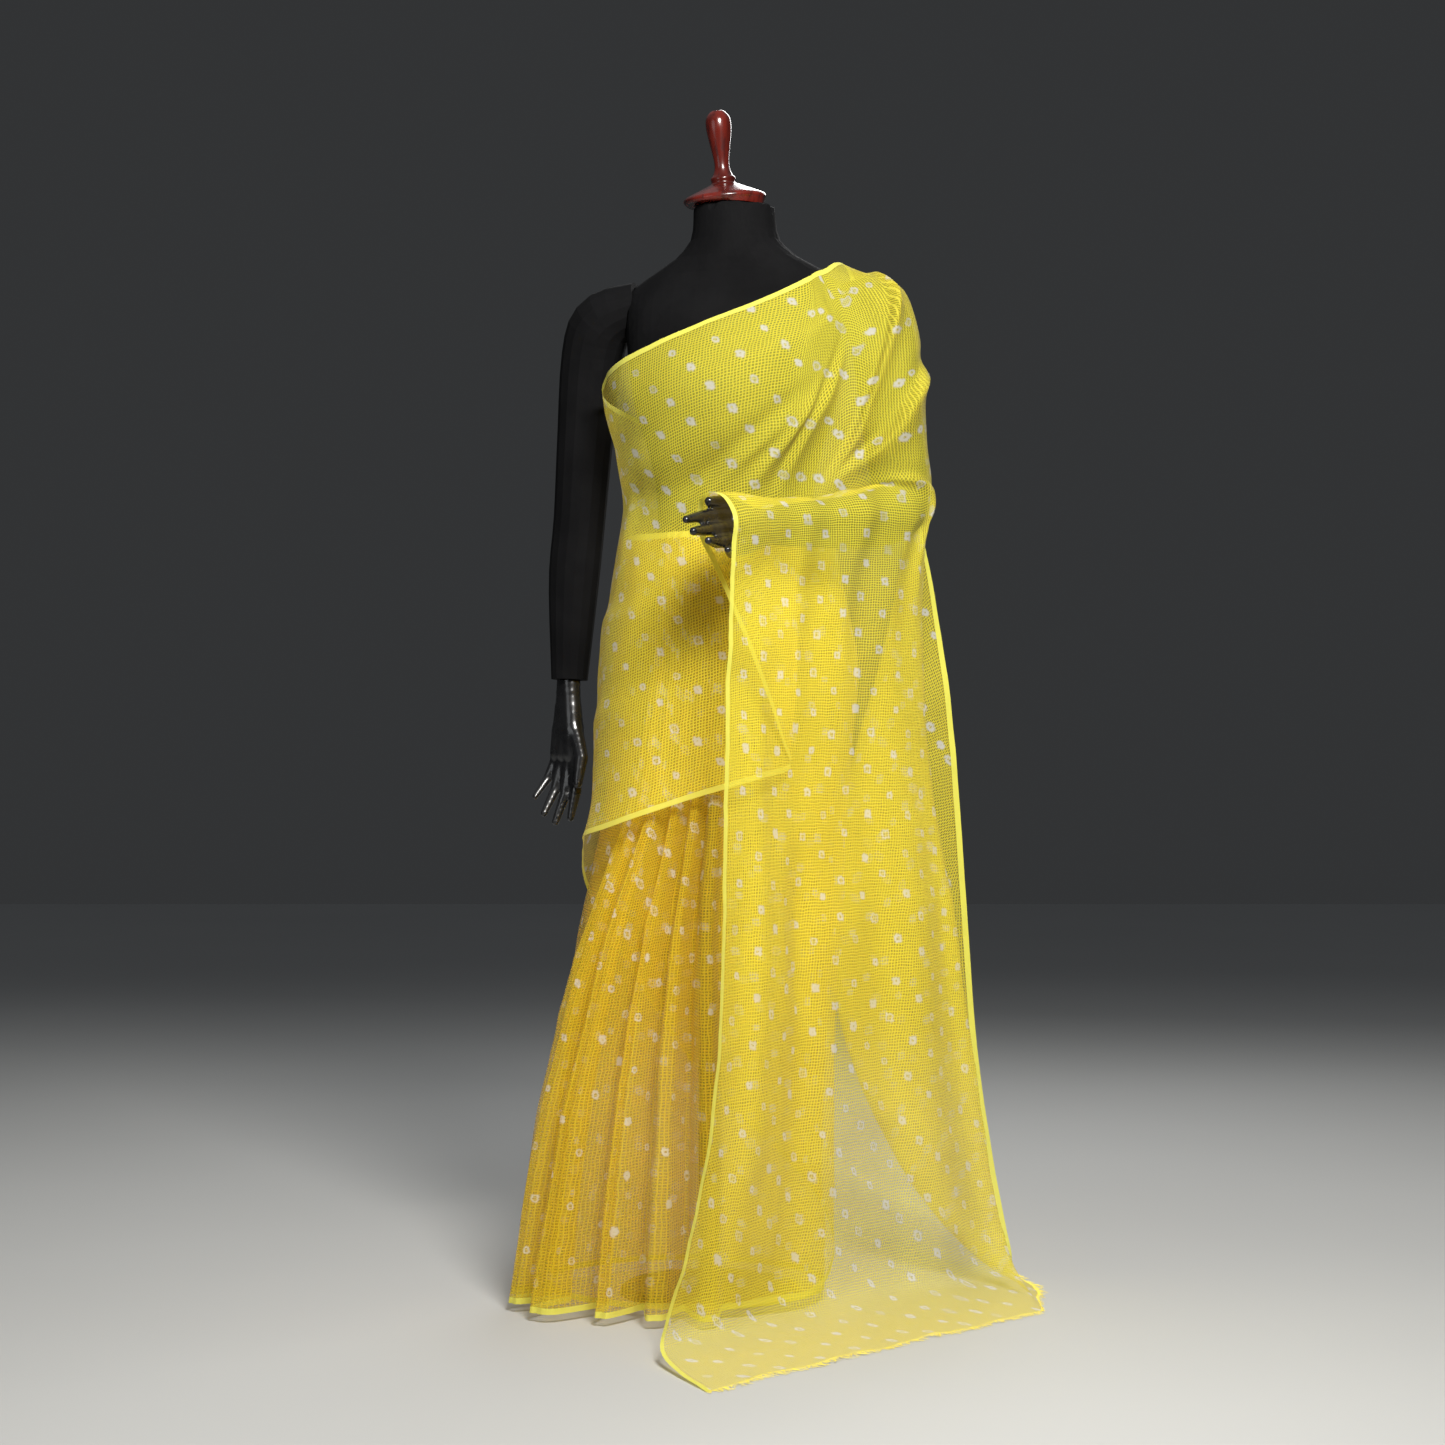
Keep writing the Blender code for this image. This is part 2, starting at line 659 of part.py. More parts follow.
def fall_columns(last_wrap):
    """From the chest over the arm and down to the floor."""
    sections = [[(v, p) for v, p in zip(row_shares(), last_wrap)],
                inside_arm(), *[lay_over_arm(turn) for turn in ARM_TURNS],
                *[fall_line(row) for row in FALL]]
    counts = [4, 2, 2, 2, 2, *[row[1] for row in FALL]]
    fall_start = 1 + len(ARM_TURNS)
    guard = arm_guard()
    keys = list(range(len(sections)))
    columns = []
    for i, count in enumerate(counts):
        for k in range(1, count + 1):
            at = i + k / count
            drop = max(0.0, (at - fall_start) / (len(sections) - 1 - fall_start))
            column = []
            for v in row_shares():
                spots = [along(s, v) for s in sections]
                spot = Vector([curve_through([p[c] for p in spots], keys, i, at) for c in range(3)])
                spot = clear_of_arm(spot + FOREARM_OUT * ripple(v, drop), guard)
                if at < 1:
                    spot = clear_of_body(spot)
                spot.z = max(spot.z, FLOOR_LIFT)
                column.append(spot)
            columns.append(column)
    ease_over_arm(columns, last_wrap, counts, guard)
    return columns


def ease_over_arm(columns, last_wrap, counts, guard):
    """Evens out the cloth from the chest to below the arm, and keeps it clear of both."""
    full = sum(counts[:len(ARM_TURNS) + 2])
    for _ in range(EASE_PASSES):
        before = [last_wrap, *[list(column) for column in columns]]
        for c in range(1, full + EASE_FADE):
            share = 0.5 * min(1.0, (full + EASE_FADE - c) / EASE_FADE)
            for r, spot in enumerate(before[c]):
                beside = [before[c - 1][r], before[c + 1][r]]
                if 0 < r < len(before[c]) - 1:
                    beside += [before[c][r - 1], before[c][r + 1]]
                spot = clear_of_arm(spot.lerp(sum(beside, Vector()) / len(beside), share), guard)
                columns[c - 1][r] = clear_of_body(spot) if c < counts[0] else spot


def sari_columns():
    columns = skirt_columns() + wrap_columns()
    return columns + fall_columns(columns[-1])


def make_sari():
    columns = sari_columns()
    rows = len(columns[0])
    points = [p for column in columns for p in column]
    faces = []
    for c in range(len(columns) - 1):
        for r in range(rows - 1):
            faces.append((c * rows + r, (c + 1) * rows + r, (c + 1) * rows + r + 1, c * rows + r + 1))
    sari = new_object("sari", mesh_from("sari", points, faces), (0.90, 0.72, 0.03), 0.75)
    thick = sari.modifiers.new("thickness", "SOLIDIFY")
    thick.thickness = SARI_THICK
    thick.offset = 0.0
    return sari


def clear_scene():
    for obj in list(bpy.data.objects):
        bpy.data.objects.remove(obj)


def make_form():
    new_object("form_body", torso_mesh("form_body", 0.0), (0.012, 0.012, 0.013), 0.85)
    cutter = new_object("torso_cutter", torso_mesh("torso_cutter", 2 * PIECE_GAP), (0.5, 0.5, 0.5), 0.5)
    cutter.hide_render = True
    cutter.display_type = "WIRE"
    make_arm("arm_right", ARM_RIGHT, cutter)
    make_arm("arm_left", ARM_LEFT, cutter)
    end, hang = tube_end(ARM_RIGHT)
    hand = make_hand("hand_right", end + hang * 0.045, hang + Vector((0.03, 0.02, 0)), (0.60, -0.75, 0), 1)
    cut_flat(hand, end + hang * PIECE_GAP, hang)
    end, reach = tube_end(ARM_LEFT)
    hand = make_hand("hand_left", end + reach * 0.022, reach + Vector((0, 0, -0.08)), (-0.25, 0.2, 1.0), -1)
    cut_flat(hand, end + reach * PIECE_GAP, reach)
    make_cap()


def make_stand():
    top = TORSO[0][0] - PIECE_GAP
    seat = BASE_THICK + PIECE_GAP
    make_turned("stand_pole", ((seat, POLE_RADIUS * 1.9), (seat + 0.006, POLE_RADIUS * 1.9),
                               (seat + 0.020, POLE_RADIUS), (top - 0.012, POLE_RADIUS),
                               (top - 0.006, POLE_RADIUS * 1.7), (top, POLE_RADIUS * 1.7)),
                20, (0.05, 0.05, 0.05), 0.35)
    make_turned("stand_base", ((0, BASE_RADIUS), (BASE_THICK * 0.6, BASE_RADIUS),
                               (BASE_THICK, BASE_RADIUS - 0.006)), 36, (0.05, 0.05, 0.05), 0.35)


def main():
    clear_scene()
    make_form()
    make_stand()
    make_sari()


main()
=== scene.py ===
"""Looks of a sheer tie-dyed sari draped on a plain black dress form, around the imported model.

The cloth is built by the same tables and functions as the model's own, then made finer, creased and
given maps in cloth metres: u runs along the length, v across from border B (the one that hangs in
front) and w is the way left to border A (the one on the shoulder). Three more numbers say how far the
cloth is stretched and slanted at each point, so that its tied dots stay round.
"""
import math
import random

import bmesh
import bpy
import numpy as np
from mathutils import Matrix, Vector, noise

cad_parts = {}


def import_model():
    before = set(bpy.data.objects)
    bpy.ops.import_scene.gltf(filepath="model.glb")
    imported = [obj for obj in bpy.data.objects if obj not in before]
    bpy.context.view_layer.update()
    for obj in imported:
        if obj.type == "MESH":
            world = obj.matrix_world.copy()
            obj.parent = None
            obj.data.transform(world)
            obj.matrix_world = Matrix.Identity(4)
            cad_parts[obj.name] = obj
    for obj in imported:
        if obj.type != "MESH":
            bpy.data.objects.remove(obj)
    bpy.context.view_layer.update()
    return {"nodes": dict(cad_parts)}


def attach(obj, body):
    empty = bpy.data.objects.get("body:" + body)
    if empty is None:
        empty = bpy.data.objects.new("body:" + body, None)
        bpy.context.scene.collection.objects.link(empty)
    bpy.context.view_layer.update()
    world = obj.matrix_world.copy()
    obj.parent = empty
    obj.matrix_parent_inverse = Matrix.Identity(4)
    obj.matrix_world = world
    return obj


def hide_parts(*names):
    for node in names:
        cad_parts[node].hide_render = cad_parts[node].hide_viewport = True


# The look of the cloth, in metres
FINE = 5
BORDER_WIDTH = 0.0085
CHECK_PITCH = 0.0040
CHECK_LINE = 0.30
DOT_ALONG = 0.056
DOT_ACROSS = 0.073
DOT_RADIUS = 0.0062
DOT_RING = 0.0018
THREAD_PITCH = 0.0018
THREAD_LENGTH = (0.004, 0.020)
SEED = 11
# The skirt and its pleats end at this column; up to there the cloth's colour is painted darker and more orange, as
# painted shade
PLEAT_COLUMNS = 54
# The columns between which the cloth lies right on the arm
ARM_COLUMNS = (81, 100)
# The raw end: how far it wavers and how far back from the end that reaches
END_WAVER = 0.0032
END_WAVER_REACH = 0.16
# A crease is steep towards border A and gentler on its other side, by this share
CREASE_SLOPE = 0.45

# Studio and camera, from the photo's framing
FLOOR_HALF = 9.0
# Where the floor's painted fall-off of light begins and ends, in metres from the middle
FLOOR_PAINTED_LIGHT_TO = 1.3
FLOOR_PAINTED_DARK_FROM = 6.0
SKY_DARK = 0.035
SKY_LIGHT = 0.26
CAMERA_PLACE = (-0.0175, -4.2, 0.799)
CAMERA_LENS = 74.74

# The shape of the cloth and form, in the model's own sizes
# Driving sizes of the form
BODY_TURN = math.radians(18)
ARM_STEPS = 22
PIECE_GAP = 0.0004
NECK_TOP = 1.520
ARM_CLEAR = 0.0053
WAIST_HEIGHT = 1.060
HEM_HEIGHT = 0.012
# Rows across the cloth from border B to border A, closest where it bends over the elbow
ROW_RUNS = ((0.00, 0.37, 7), (0.37, 0.67, 10), (0.67, 1.00, 7))
FLOOR_LIFT = 0.0012
FOREARM_OUT = Vector((0.676, -0.737, 0))
GUARD_PASSES = 4
BODY_GUARD_TOP = 1.36
BODY_COVER = 0.029
# How often the cloth over the arm is evened out, and over how many columns that fades away
EASE_PASSES = 10
EASE_FADE = 6
CAP_CENTRE = (-0.014, -0.006)
CAP_LEAN = math.radians(5)
# Arm joints: x, y, z, radius
ARM_RIGHT = (
    (-0.132, 0.043, 1.392, 0.031),
    (-0.184, 0.063, 1.368, 0.044),
    (-0.203, 0.078, 1.320, 0.044),
    (-0.214, 0.088, 1.200, 0.040),
    (-0.222, 0.092, 1.090, 0.037),
    (-0.230, 0.090, 1.000, 0.036),
    (-0.236, 0.084, 0.860, 0.026),
)
ARM_LEFT = (
    (0.150, -0.050, 1.372, 0.034),
    (0.184, -0.060, 1.368, 0.044),
    (0.204, -0.066, 1.320, 0.045),
    (0.217, -0.066, 1.200, 0.041),
    (0.228, -0.060, 1.105, 0.039),
    (0.209, -0.076, 1.082, 0.039),
    (0.155, -0.126, 1.071, 0.036),
    (0.055, -0.222, 1.060, 0.027),
)
# Hand bones for a right hand that hangs: along the hand, across to the thumb, radius
PALM = (
    # name, along, across, radius
    ("sleeve end", -0.060, 0.000, 0.0180),
    ("wrist", -0.006, 0.000, 0.0170),
    ("heel", 0.026, 0.000, 0.0190),
    ("palm", 0.060, -0.003, 0.0180),
)
FINGERS = (
    # name, root along, root across, knuckle along, knuckle across, tip along, tip across, radius, curl
    ("thumb", 0.026, 0.018, 0.066, 0.040, 0.104, 0.042, 0.0086, 0.012),
    ("index", 0.068, 0.022, 0.114, 0.026, 0.152, 0.023, 0.0074, 0.010),
    ("middle", 0.070, 0.006, 0.120, 0.006, 0.158, 0.003, 0.0076, 0.022),
    ("ring", 0.068, -0.010, 0.112, -0.014, 0.146, -0.014, 0.0072, 0.030),
    ("little", 0.062, -0.024, 0.096, -0.031, 0.122, -0.031, 0.0064, 0.034),
)
# The left hand under the cloth: how far past the arm's end, radius
HAND_COVER = ((0.030, 0.034), (0.075, 0.041), (0.122, 0.040))
# Neck cap and finial: height above the neck, radius
CAP_PROFILE = (
    (0.0000, 0.0562),
    (0.0035, 0.0580),
    (0.0070, 0.0568),
    (0.0095, 0.0530),
    (0.0160, 0.0380),
    (0.0225, 0.0235),
    (0.0260, 0.0168),
    (0.0330, 0.0172),
    (0.0380, 0.0135),
    (0.0480, 0.0105),
    (0.0620, 0.0112),
    (0.0900, 0.0160),
    (0.1050, 0.0178),
    (0.1170, 0.0165),
    (0.1255, 0.0100),
    (0.1270, 0.0040),
)
# Cloth round the body: height, centre x, centre y, half width, half depth (before any layer is added)
GIRTH = (
    (0.000, -0.070, 0.005, 0.194, 0.186),
    (0.310, -0.056, 0.003, 0.180, 0.163),
    (0.510, -0.040, 0.002, 0.174, 0.148),
    (0.680, -0.018, 0.000, 0.162, 0.132),
    (0.880, -0.006, 0.000, 0.163, 0.122),
    (0.980, -0.008, 0.000, 0.147, 0.114),
    (1.070, -0.010, -0.002, 0.133, 0.108),
    (1.150, -0.008, -0.006, 0.129, 0.118),
    (1.240, -0.006, -0.010, 0.155, 0.136),
    (1.300, -0.004, -0.006, 0.162, 0.130),
    (1.360, 0.000, 0.002, 0.170, 0.104),
    (1.400, 0.000, 0.006, 0.164, 0.084),
    (1.450, 0.000, 0.008, 0.140, 0.062),
)
# The skirt's turns: share of the row's columns, angle at the waist, angle at the hem, layer
SKIRT = (
    # name, columns, waist angle, hem angle, layer offset
    ("tucked start", 0, -80, -92, 0.000),
    ("first turn, left hip", 7, 90, 85, 0.002),
    ("first turn, back", 4, 180, 178, 0.004),
    ("first turn, right hip", 4, 262, 255, 0.006),
    ("pleats begin", 3, 338, 299, 0.008),
    ("pleats end", 36, 369, 393, 0.012),
)
# Front pleats from the right hip to the middle: share of the width, share of the depth
PLEATS = (
    ("outer", 0.158, 0.62),
    ("second", 0.141, 0.95),
    ("broad", 0.216, 1.15),
    ("fourth", 0.158, 0.90),
    ("inner", 0.158, 0.85),
    ("behind the falling end", 0.169, 0.90),
)
# How much of a pleat's width its front edge and its back slope take; the rest lies flat
PLEAT_EDGE = 0.30
PLEAT_BACK = 0.42
PLEAT_DEPTH = (
    # height, depth
    (0.00, 0.080),
    (0.30, 0.062),
    (0.55, 0.040),
    (0.70, 0.023),
    (0.90, 0.012),
    (1.06, 0.008),
)
# The second turn and the chest: columns, angle at each edge, height at each edge, layer
WRAP = (
    # name, columns, angle at border B, angle at border A, height of B, height of A, layer
    ("past the pleats", 3, 410, 392, 0.020, 1.068, 0.016),
    ("left hip", 3, 450, 450, 0.040, 1.072, 0.016),
    ("back", 4, 540, 540, 0.235, 1.130, 0.018),
    ("right back", 4, 600, 600, 0.490, 1.225, 0.021),
    ("right side", 3, 646, 646, 0.612, 1.262, 0.024),
    ("right front", 3, 690, 684, 0.655, 1.296, 0.026),
    ("middle", 3, 727, 722, 0.700, 1.346, 0.027),
    ("left front", 3, 762, 764, 0.737, 1.408, 0.026),
)
# The falling end: border B, the right-hand fold, the fold turned in behind it, and border A
FALL = (
    # name, columns, B, fold, inner fold, A
    ("under the arm", 3, (-0.016, -0.325, 0.975), (0.262, -0.078, 1.010), (0.246, 0.040, 1.050),
     (0.272, 0.085, 1.130)),
    ("hip", 3, (-0.022, -0.342, 0.780), (0.274, -0.035, 0.770), (0.158, 0.098, 0.800),
     (0.318, 0.110, 0.850)),
    ("thigh", 3, (-0.027, -0.370, 0.520), (0.305, -0.015, 0.530), (0.112, 0.128, 0.550),
     (0.342, 0.130, 0.590)),
    ("knee", 3, (-0.045, -0.395, 0.280), (0.338, 0.015, 0.300), (0.160, 0.130, 0.310),
     (0.362, 0.145, 0.330)),
    ("shin", 3, (-0.080, -0.430, 0.110), (0.368, 0.035, 0.130), (0.250, 0.115, 0.130),
     (0.392, 0.155, 0.130)),
    ("crease", 2, (-0.102, -0.470, 0.020), (0.392, 0.015, 0.040), (0.340, 0.075, 0.035),
     (0.408, 0.140, 0.035)),
    ("end", 2, (-0.038, -0.620, 0.000), (0.418, -0.116, 0.000), (0.420, 0.040, 0.000),
     (0.400, 0.150, 0.000)),
)
# How the cloth lies over the left arm: share across the cloth, what it turns over, the way to the
# body's side and the way over the top
ARM_LAY = (
    (0.00, "hand", (-0.68, 0.74, 0.0), (0.0, 0.0, 1.0)),
    (0.14, "7", (-0.68, 0.74, 0.0), (0.0, 0.0, 1.0)),
    (0.30, "6", (-0.68, 0.74, 0.0), (0.0, 0.0, 1.0)),
    (0.42, "5", (-0.70, -0.10, 0.7), (0.1, -0.3, 0.95)),
    (0.50, "4", (-0.65, -0.65, 0.4), (0.65, -0.60, 0.45)),
    (0.64, "3", (-0.75, -0.66, 0.0), (0.66, -0.75, 0.0)),
    (0.78, "2", (-0.60, -0.80, 0.0), (0.80, -0.60, 0.1)),
    (0.90, "1", (-0.30, -0.95, 0.0), (0.45, -0.15, 0.9)),
    (1.00, "shoulder top", (-0.30, -1.00, 0.5), (0.05, 0.0, 1.0)),
)
ARM_TURNS = (25, 65, 105, 150)
SHOULDER_TOP = (0.140, -0.048, 1.388, 0.042)
ARM_APPROACH = (
    (0.00, (0.048, -0.220, 0.850)),
    (0.18, (0.064, -0.168, 0.995)),
    (0.30, (0.092, -0.130, 1.040)),
    (0.42, (0.120, -0.106, 1.098)),
    (0.55, (0.150, -0.106, 1.160)),
    (0.78, (0.148, -0.122, 1.290)),
    (0.90, (0.136, -0.106, 1.370)),
    (1.00, (0.114, -0.080, 1.422)),
)
FOLD_SHARE = 0.58
INNER_SHARE = 0.78
# Soft ripples down the falling end: waves across, depth, lean of each wave along its length
RIPPLES = ((2.5, 0.012, 0.4), (6.5, 0.008, 1.9))


def spread(start, end, count):
    """Evenly spaced values, both ends among them."""
    return [start + (end - start) * k / (count - 1) for k in range(count)]


def row_shares():
    """The rows' places across the cloth, from 0 at border B to 1 at border A."""
    shares = [0.0]
    for low, high, count in ROW_RUNS:
        shares += spread(low, high, count + 1)[1:]
    return shares


def smooth_step(t):
    t = min(max(t, 0.0), 1.0)
    return t * t * (3 - 2 * t)


def read_table(table, at, column):
    """A smooth value of one column of a table whose first column rises."""
    keys = [row[0] for row in table]
    if at <= keys[0]:
        return table[0][column]
    if at >= keys[-1]:
        return table[-1][column]
    i = max(k for k in range(len(keys) - 1) if keys[k] <= at)
    return curve_through([row[column] for row in table], keys, i, at)


def curve_through(values, keys, i, at):
    """The value at a place between keys i and i + 1, on a curve through all the values."""
    def slope(k):
        low, high = max(k - 1, 0), min(k + 1, len(keys) - 1)
        return (values[high] - values[low]) / (keys[high] - keys[low])
    step = keys[i + 1] - keys[i]
    t = (at - keys[i]) / step
    start, end = values[i], values[i + 1]
    return ((2 * t**3 - 3 * t**2 + 1) * start + (t**3 - 2 * t**2 + t) * step * slope(i)
            + (3 * t**2 - 2 * t**3) * end + (t**3 - t**2) * step * slope(i + 1))


def turned(across, front, height):
    """A point given across the form to its left and towards its front."""
    c, s = math.cos(BODY_TURN), math.sin(BODY_TURN)
    return Vector((across * c - front * s, -across * s - front * c, height))


def mesh_from(name, points, faces):
    mesh = bpy.data.meshes.new(name)
    mesh.from_pydata([tuple(p) for p in points], [], faces)
    mesh.update()
    return mesh


def ring_mesh(name, rings):
    """A closed skin over rings of points, with a flat face at each end."""
    sides = len(rings[0])
    points = [p for ring in rings for p in ring]
    faces = []
    for r in range(len(rings) - 1):
        for k in range(sides):
            n = (k + 1) % sides
            faces.append((r * sides + k, r * sides + n, (r + 1) * sides + n, (r + 1) * sides + k))
    faces.append(tuple(reversed(range(sides))))
    last = (len(rings) - 1) * sides
    faces.append(tuple(range(last, last + sides)))
    mesh = mesh_from(name, points, faces)
    bm = bmesh.new()
    bm.from_mesh(mesh)
    bmesh.ops.recalc_face_normals(bm, faces=bm.faces)
    bm.to_mesh(mesh)
    bm.free()
    return mesh


def tube_line(path, steps):
    """The centres and radii of a tube, at even steps along its path."""
    keys = list(range(len(path)))
    centres, radii = [], []
    for at in spread(0, len(path) - 1, steps):
        i = min(int(at), len(path) - 2)
        centres.append(Vector([curve_through([p[c] for p in path], keys, i, at) for c in range(3)]))
        radii.append(curve_through([p[3] for p in path], keys, i, at))
    return centres, radii


def tube_end(path):
    """The last centre of an arm's tube and the way that it points."""
    centres, _ = tube_line(path, ARM_STEPS)
    return centres[-1], (centres[-1] - centres[-2]).normalized()


def bone(bm, start, end, r_start, r_end):
    """A round-ended bar between two points."""
    steps = 5
    for k in range(steps + 1):
        t = k / steps
        centre = start.lerp(end, t)
        radius = r_start + (r_end - r_start) * t
        made = bmesh.ops.create_icosphere(bm, subdivisions=2, radius=radius)
        bmesh.ops.translate(bm, verts=made["verts"], vec=centre)


def girth_point(angle, height, layer):
    """A point of the cloth round the body, at an angle from the form's front to its left."""
    a = math.radians(angle)
    cx, cy, wide, deep = (read_table(GIRTH, height, c) for c in (1, 2, 3, 4))
    spot = turned((wide + layer) * math.sin(a), (deep + layer) * math.cos(a), height)
    return spot + Vector((cx, cy, 0))


def pleat_wave(t):
    """How far the front pleats stand out, from 0 to 1, at a share t of their width."""
    done = 0.0
    for _, width, depth in PLEATS:
        if t <= done + width:
            place = (t - done) / width
            return depth * min(smooth_step(place / PLEAT_EDGE), smooth_step((1 - place) / PLEAT_BACK))
        done += width
    return 0.0


def skirt_columns():
    """The first turn and the front pleats, each column running from the hem up to the waist."""
    columns = []
    for row, nxt in zip(SKIRT, SKIRT[1:]):
        count = nxt[1]
        for k in range(count):
            t = k / count
            waist, hem, layer = (row[c] + (nxt[c] - row[c]) * t for c in (2, 3, 4))
            wave = pleat_wave(t) if nxt[0] == "pleats end" else 0.0
            columns.append(skirt_column(waist, hem, layer, wave))
    return columns


def skirt_column(waist, hem, layer, wave):
    column = []
    for v in row_shares():
        height = HEM_HEIGHT + (WAIST_HEIGHT - HEM_HEIGHT) * v
        angle = hem + (waist - hem) * smooth_step(v)
        depth = read_table(PLEAT_DEPTH, height, 1)
        column.append(girth_point(angle, height, layer + wave * depth))
    return column


def front_cover(angle, height):
    """How far the second turn stands off to lie over the pleats, near the form's front."""
    near = min(smooth_step((angle - 652) / 32), smooth_step((775 - angle) / 35))
    return near * read_table(PLEAT_DEPTH, height, 1) * 1.10


def wrap_columns():
    """The second turn, which climbs round the back and crosses the chest."""
    keys = list(range(-1, len(WRAP)))
    start = ("pleats end", 0, SKIRT[-1][3], SKIRT[-1][2], HEM_HEIGHT, WAIST_HEIGHT, SKIRT[-1][4])
    rows = (start, *WRAP)
    columns = []
    for i in range(len(rows) - 1):
        count = rows[i + 1][1]
        for k in range(count):
            at = keys[i] + k / count
            b_angle, a_angle, b_height, a_height, layer = (
                curve_through([r[c] for r in rows], keys, i, at) for c in range(2, 7))
            columns.append(wrap_column(b_angle, a_angle, b_height, a_height, layer))
    last = rows[-1]
    columns.append(wrap_column(*last[2:7]))
    return columns


def wrap_column(b_angle, a_angle, b_height, a_height, layer):
    column = []
    for v in row_shares():
        height = b_height + (a_height - b_height) * v
        angle = b_angle + (a_angle - b_angle) * (smooth_step(v) if b_angle < 400 else v)
        column.append(girth_point(angle, height, layer + front_cover(angle, height)))
    return column


def along(points, v):
    """A point on a smooth curve through (share, point) pairs."""
    keys = [p[0] for p in points]
    i = max(k for k in range(len(keys) - 1) if keys[k] <= max(v, keys[0]))
    return Vector([curve_through([p[1][c] for p in points], keys, i, v) for c in range(3)])


def lay_centres():
    """The middles and radii that the cloth turns over: the hand, the arm's joints and the shoulder."""
    end, reach = tube_end(ARM_LEFT)
    hand = (*(end + reach * HAND_COVER[2][0]), HAND_COVER[2][1])
    return {"hand": hand, "shoulder top": SHOULDER_TOP,
            **{str(k): joint for k, joint in enumerate(ARM_LEFT)}}


def lay_over_arm(turn):
    """A line along the arm at one turn over it: 0 on the body's side, 90 on top, 180 outside."""
    centres = lay_centres()
    line = []
    for share, place, inward, over in ARM_LAY:
        x, y, z, radius = centres[place]
        a = math.radians(turn)
        way = Vector(inward).normalized() * math.cos(a) + Vector(over).normalized() * math.sin(a)
        line.append((share, Vector((x, y, z)) + way.normalized() * (radius + ARM_CLEAR)))
    return line


def inside_arm():
    """Where the cloth comes to the arm, inside the forearm and before the upper arm."""
    return [(share, Vector(place)) for share, place in ARM_APPROACH]


def fall_line(row):
    """A line across the falling end, through its two borders and its two folds."""
    b, fold, inner, a = (Vector(p) for p in row[2:6])
    return (
        (0.00, b),
        (FOLD_SHARE / 2, b.lerp(fold, 0.50)),
        (FOLD_SHARE - 0.05, b.lerp(fold, 0.95) + Vector((0.004, -0.006, 0))),
        (FOLD_SHARE, fold),
        (INNER_SHARE - 0.04, inner.lerp(fold, 0.16) + Vector((0, -0.006, 0))),
        (INNER_SHARE, inner),
        (INNER_SHARE + 0.05, inner.lerp(a, 0.16) + Vector((0, 0.010, 0))),
        (1.00, a),
    )


def ripple(v, drop):
    """Soft ripples of the falling end, none at the arm or at the end on the floor."""
    size = 0.0
    for waves, depth, lean in RIPPLES:
        size += depth * math.sin(2 * math.pi * waves * v + lean + 1.3 * drop)
    return size * min(1.0, 2.5 * drop) * min(1.0, 6 * (1 - drop))


def arm_guard():
    """The left shoulder, arm and back of the hand as centres and radii, for the cloth to lie over."""
    end, reach = tube_end(ARM_LEFT)
    hand = [(*(end + reach * far), radius) for far, radius in HAND_COVER]
    return tube_line((SHOULDER_TOP, *ARM_LEFT, *hand), ARM_STEPS * 2)


def clear_of_arm(spot, guard):
    """A point of the cloth, moved straight out of the arm where it would be too near."""
    for _ in range(GUARD_PASSES):
        short, away = most_short(spot, *guard)
        if short <= 0:
            break
        spot = spot + away.normalized() * short
    return spot


def most_short(spot, centres, radii):
    """How deep a point lies inside the arm's clearance, and the way out."""
    best = None
    for k in range(len(centres) - 1):
        run = centres[k + 1] - centres[k]
        t = min(max((spot - centres[k]).dot(run) / run.length_squared, 0), 1)
        away = spot - centres[k] - run * t
        short = radii[k] + (radii[k + 1] - radii[k]) * t + ARM_CLEAR - away.length
        if best is None or short > best[0]:
            best = (short, away)
    return best


def clear_of_body(spot):
    """A point of the cloth before the arm, moved straight out of the layers already on the body."""
    if spot.z > BODY_GUARD_TOP:
        return spot
    cx, cy, wide, deep = (read_table(GIRTH, spot.z, c) for c in (1, 2, 3, 4))
    flat = Vector((spot.x - cx, spot.y - cy, 0))
    c, s = math.cos(BODY_TURN), math.sin(BODY_TURN)
    across, front = flat.x * c - flat.y * s, -flat.x * s - flat.y * c
    angle = 720 + math.degrees(math.atan2(across / wide, front / deep))
    cover = BODY_COVER + front_cover(angle, spot.z)
    share = math.hypot(across / (wide + cover), front / (deep + cover))
    if share < 1:
        flat /= share
    return Vector((flat.x + cx, flat.y + cy, spot.z))


def fall_columns(last_wrap):
    """From the chest over the arm and down to the floor."""
    sections = [[(v, p) for v, p in zip(row_shares(), last_wrap)],
                inside_arm(), *[lay_over_arm(turn) for turn in ARM_TURNS],
                *[fall_line(row) for row in FALL]]
    counts = [4, 2, 2, 2, 2, *[row[1] for row in FALL]]
    fall_start = 1 + len(ARM_TURNS)
    guard = arm_guard()
    keys = list(range(len(sections)))
    columns = []
    for i, count in enumerate(counts):
        for k in range(1, count + 1):
            at = i + k / count
            drop = max(0.0, (at - fall_start) / (len(sections) - 1 - fall_start))
            column = []
            for v in row_shares():
                spots = [along(s, v) for s in sections]
                spot = Vector([curve_through([p[c] for p in spots], keys, i, at) for c in range(3)])
                spot = clear_of_arm(spot + FOREARM_OUT * ripple(v, drop), guard)
                if at < 1:
                    spot = clear_of_body(spot)
                spot.z = max(spot.z, FLOOR_LIFT)
                column.append(spot)
            columns.append(column)
    ease_over_arm(columns, last_wrap, counts, guard)
    return columns


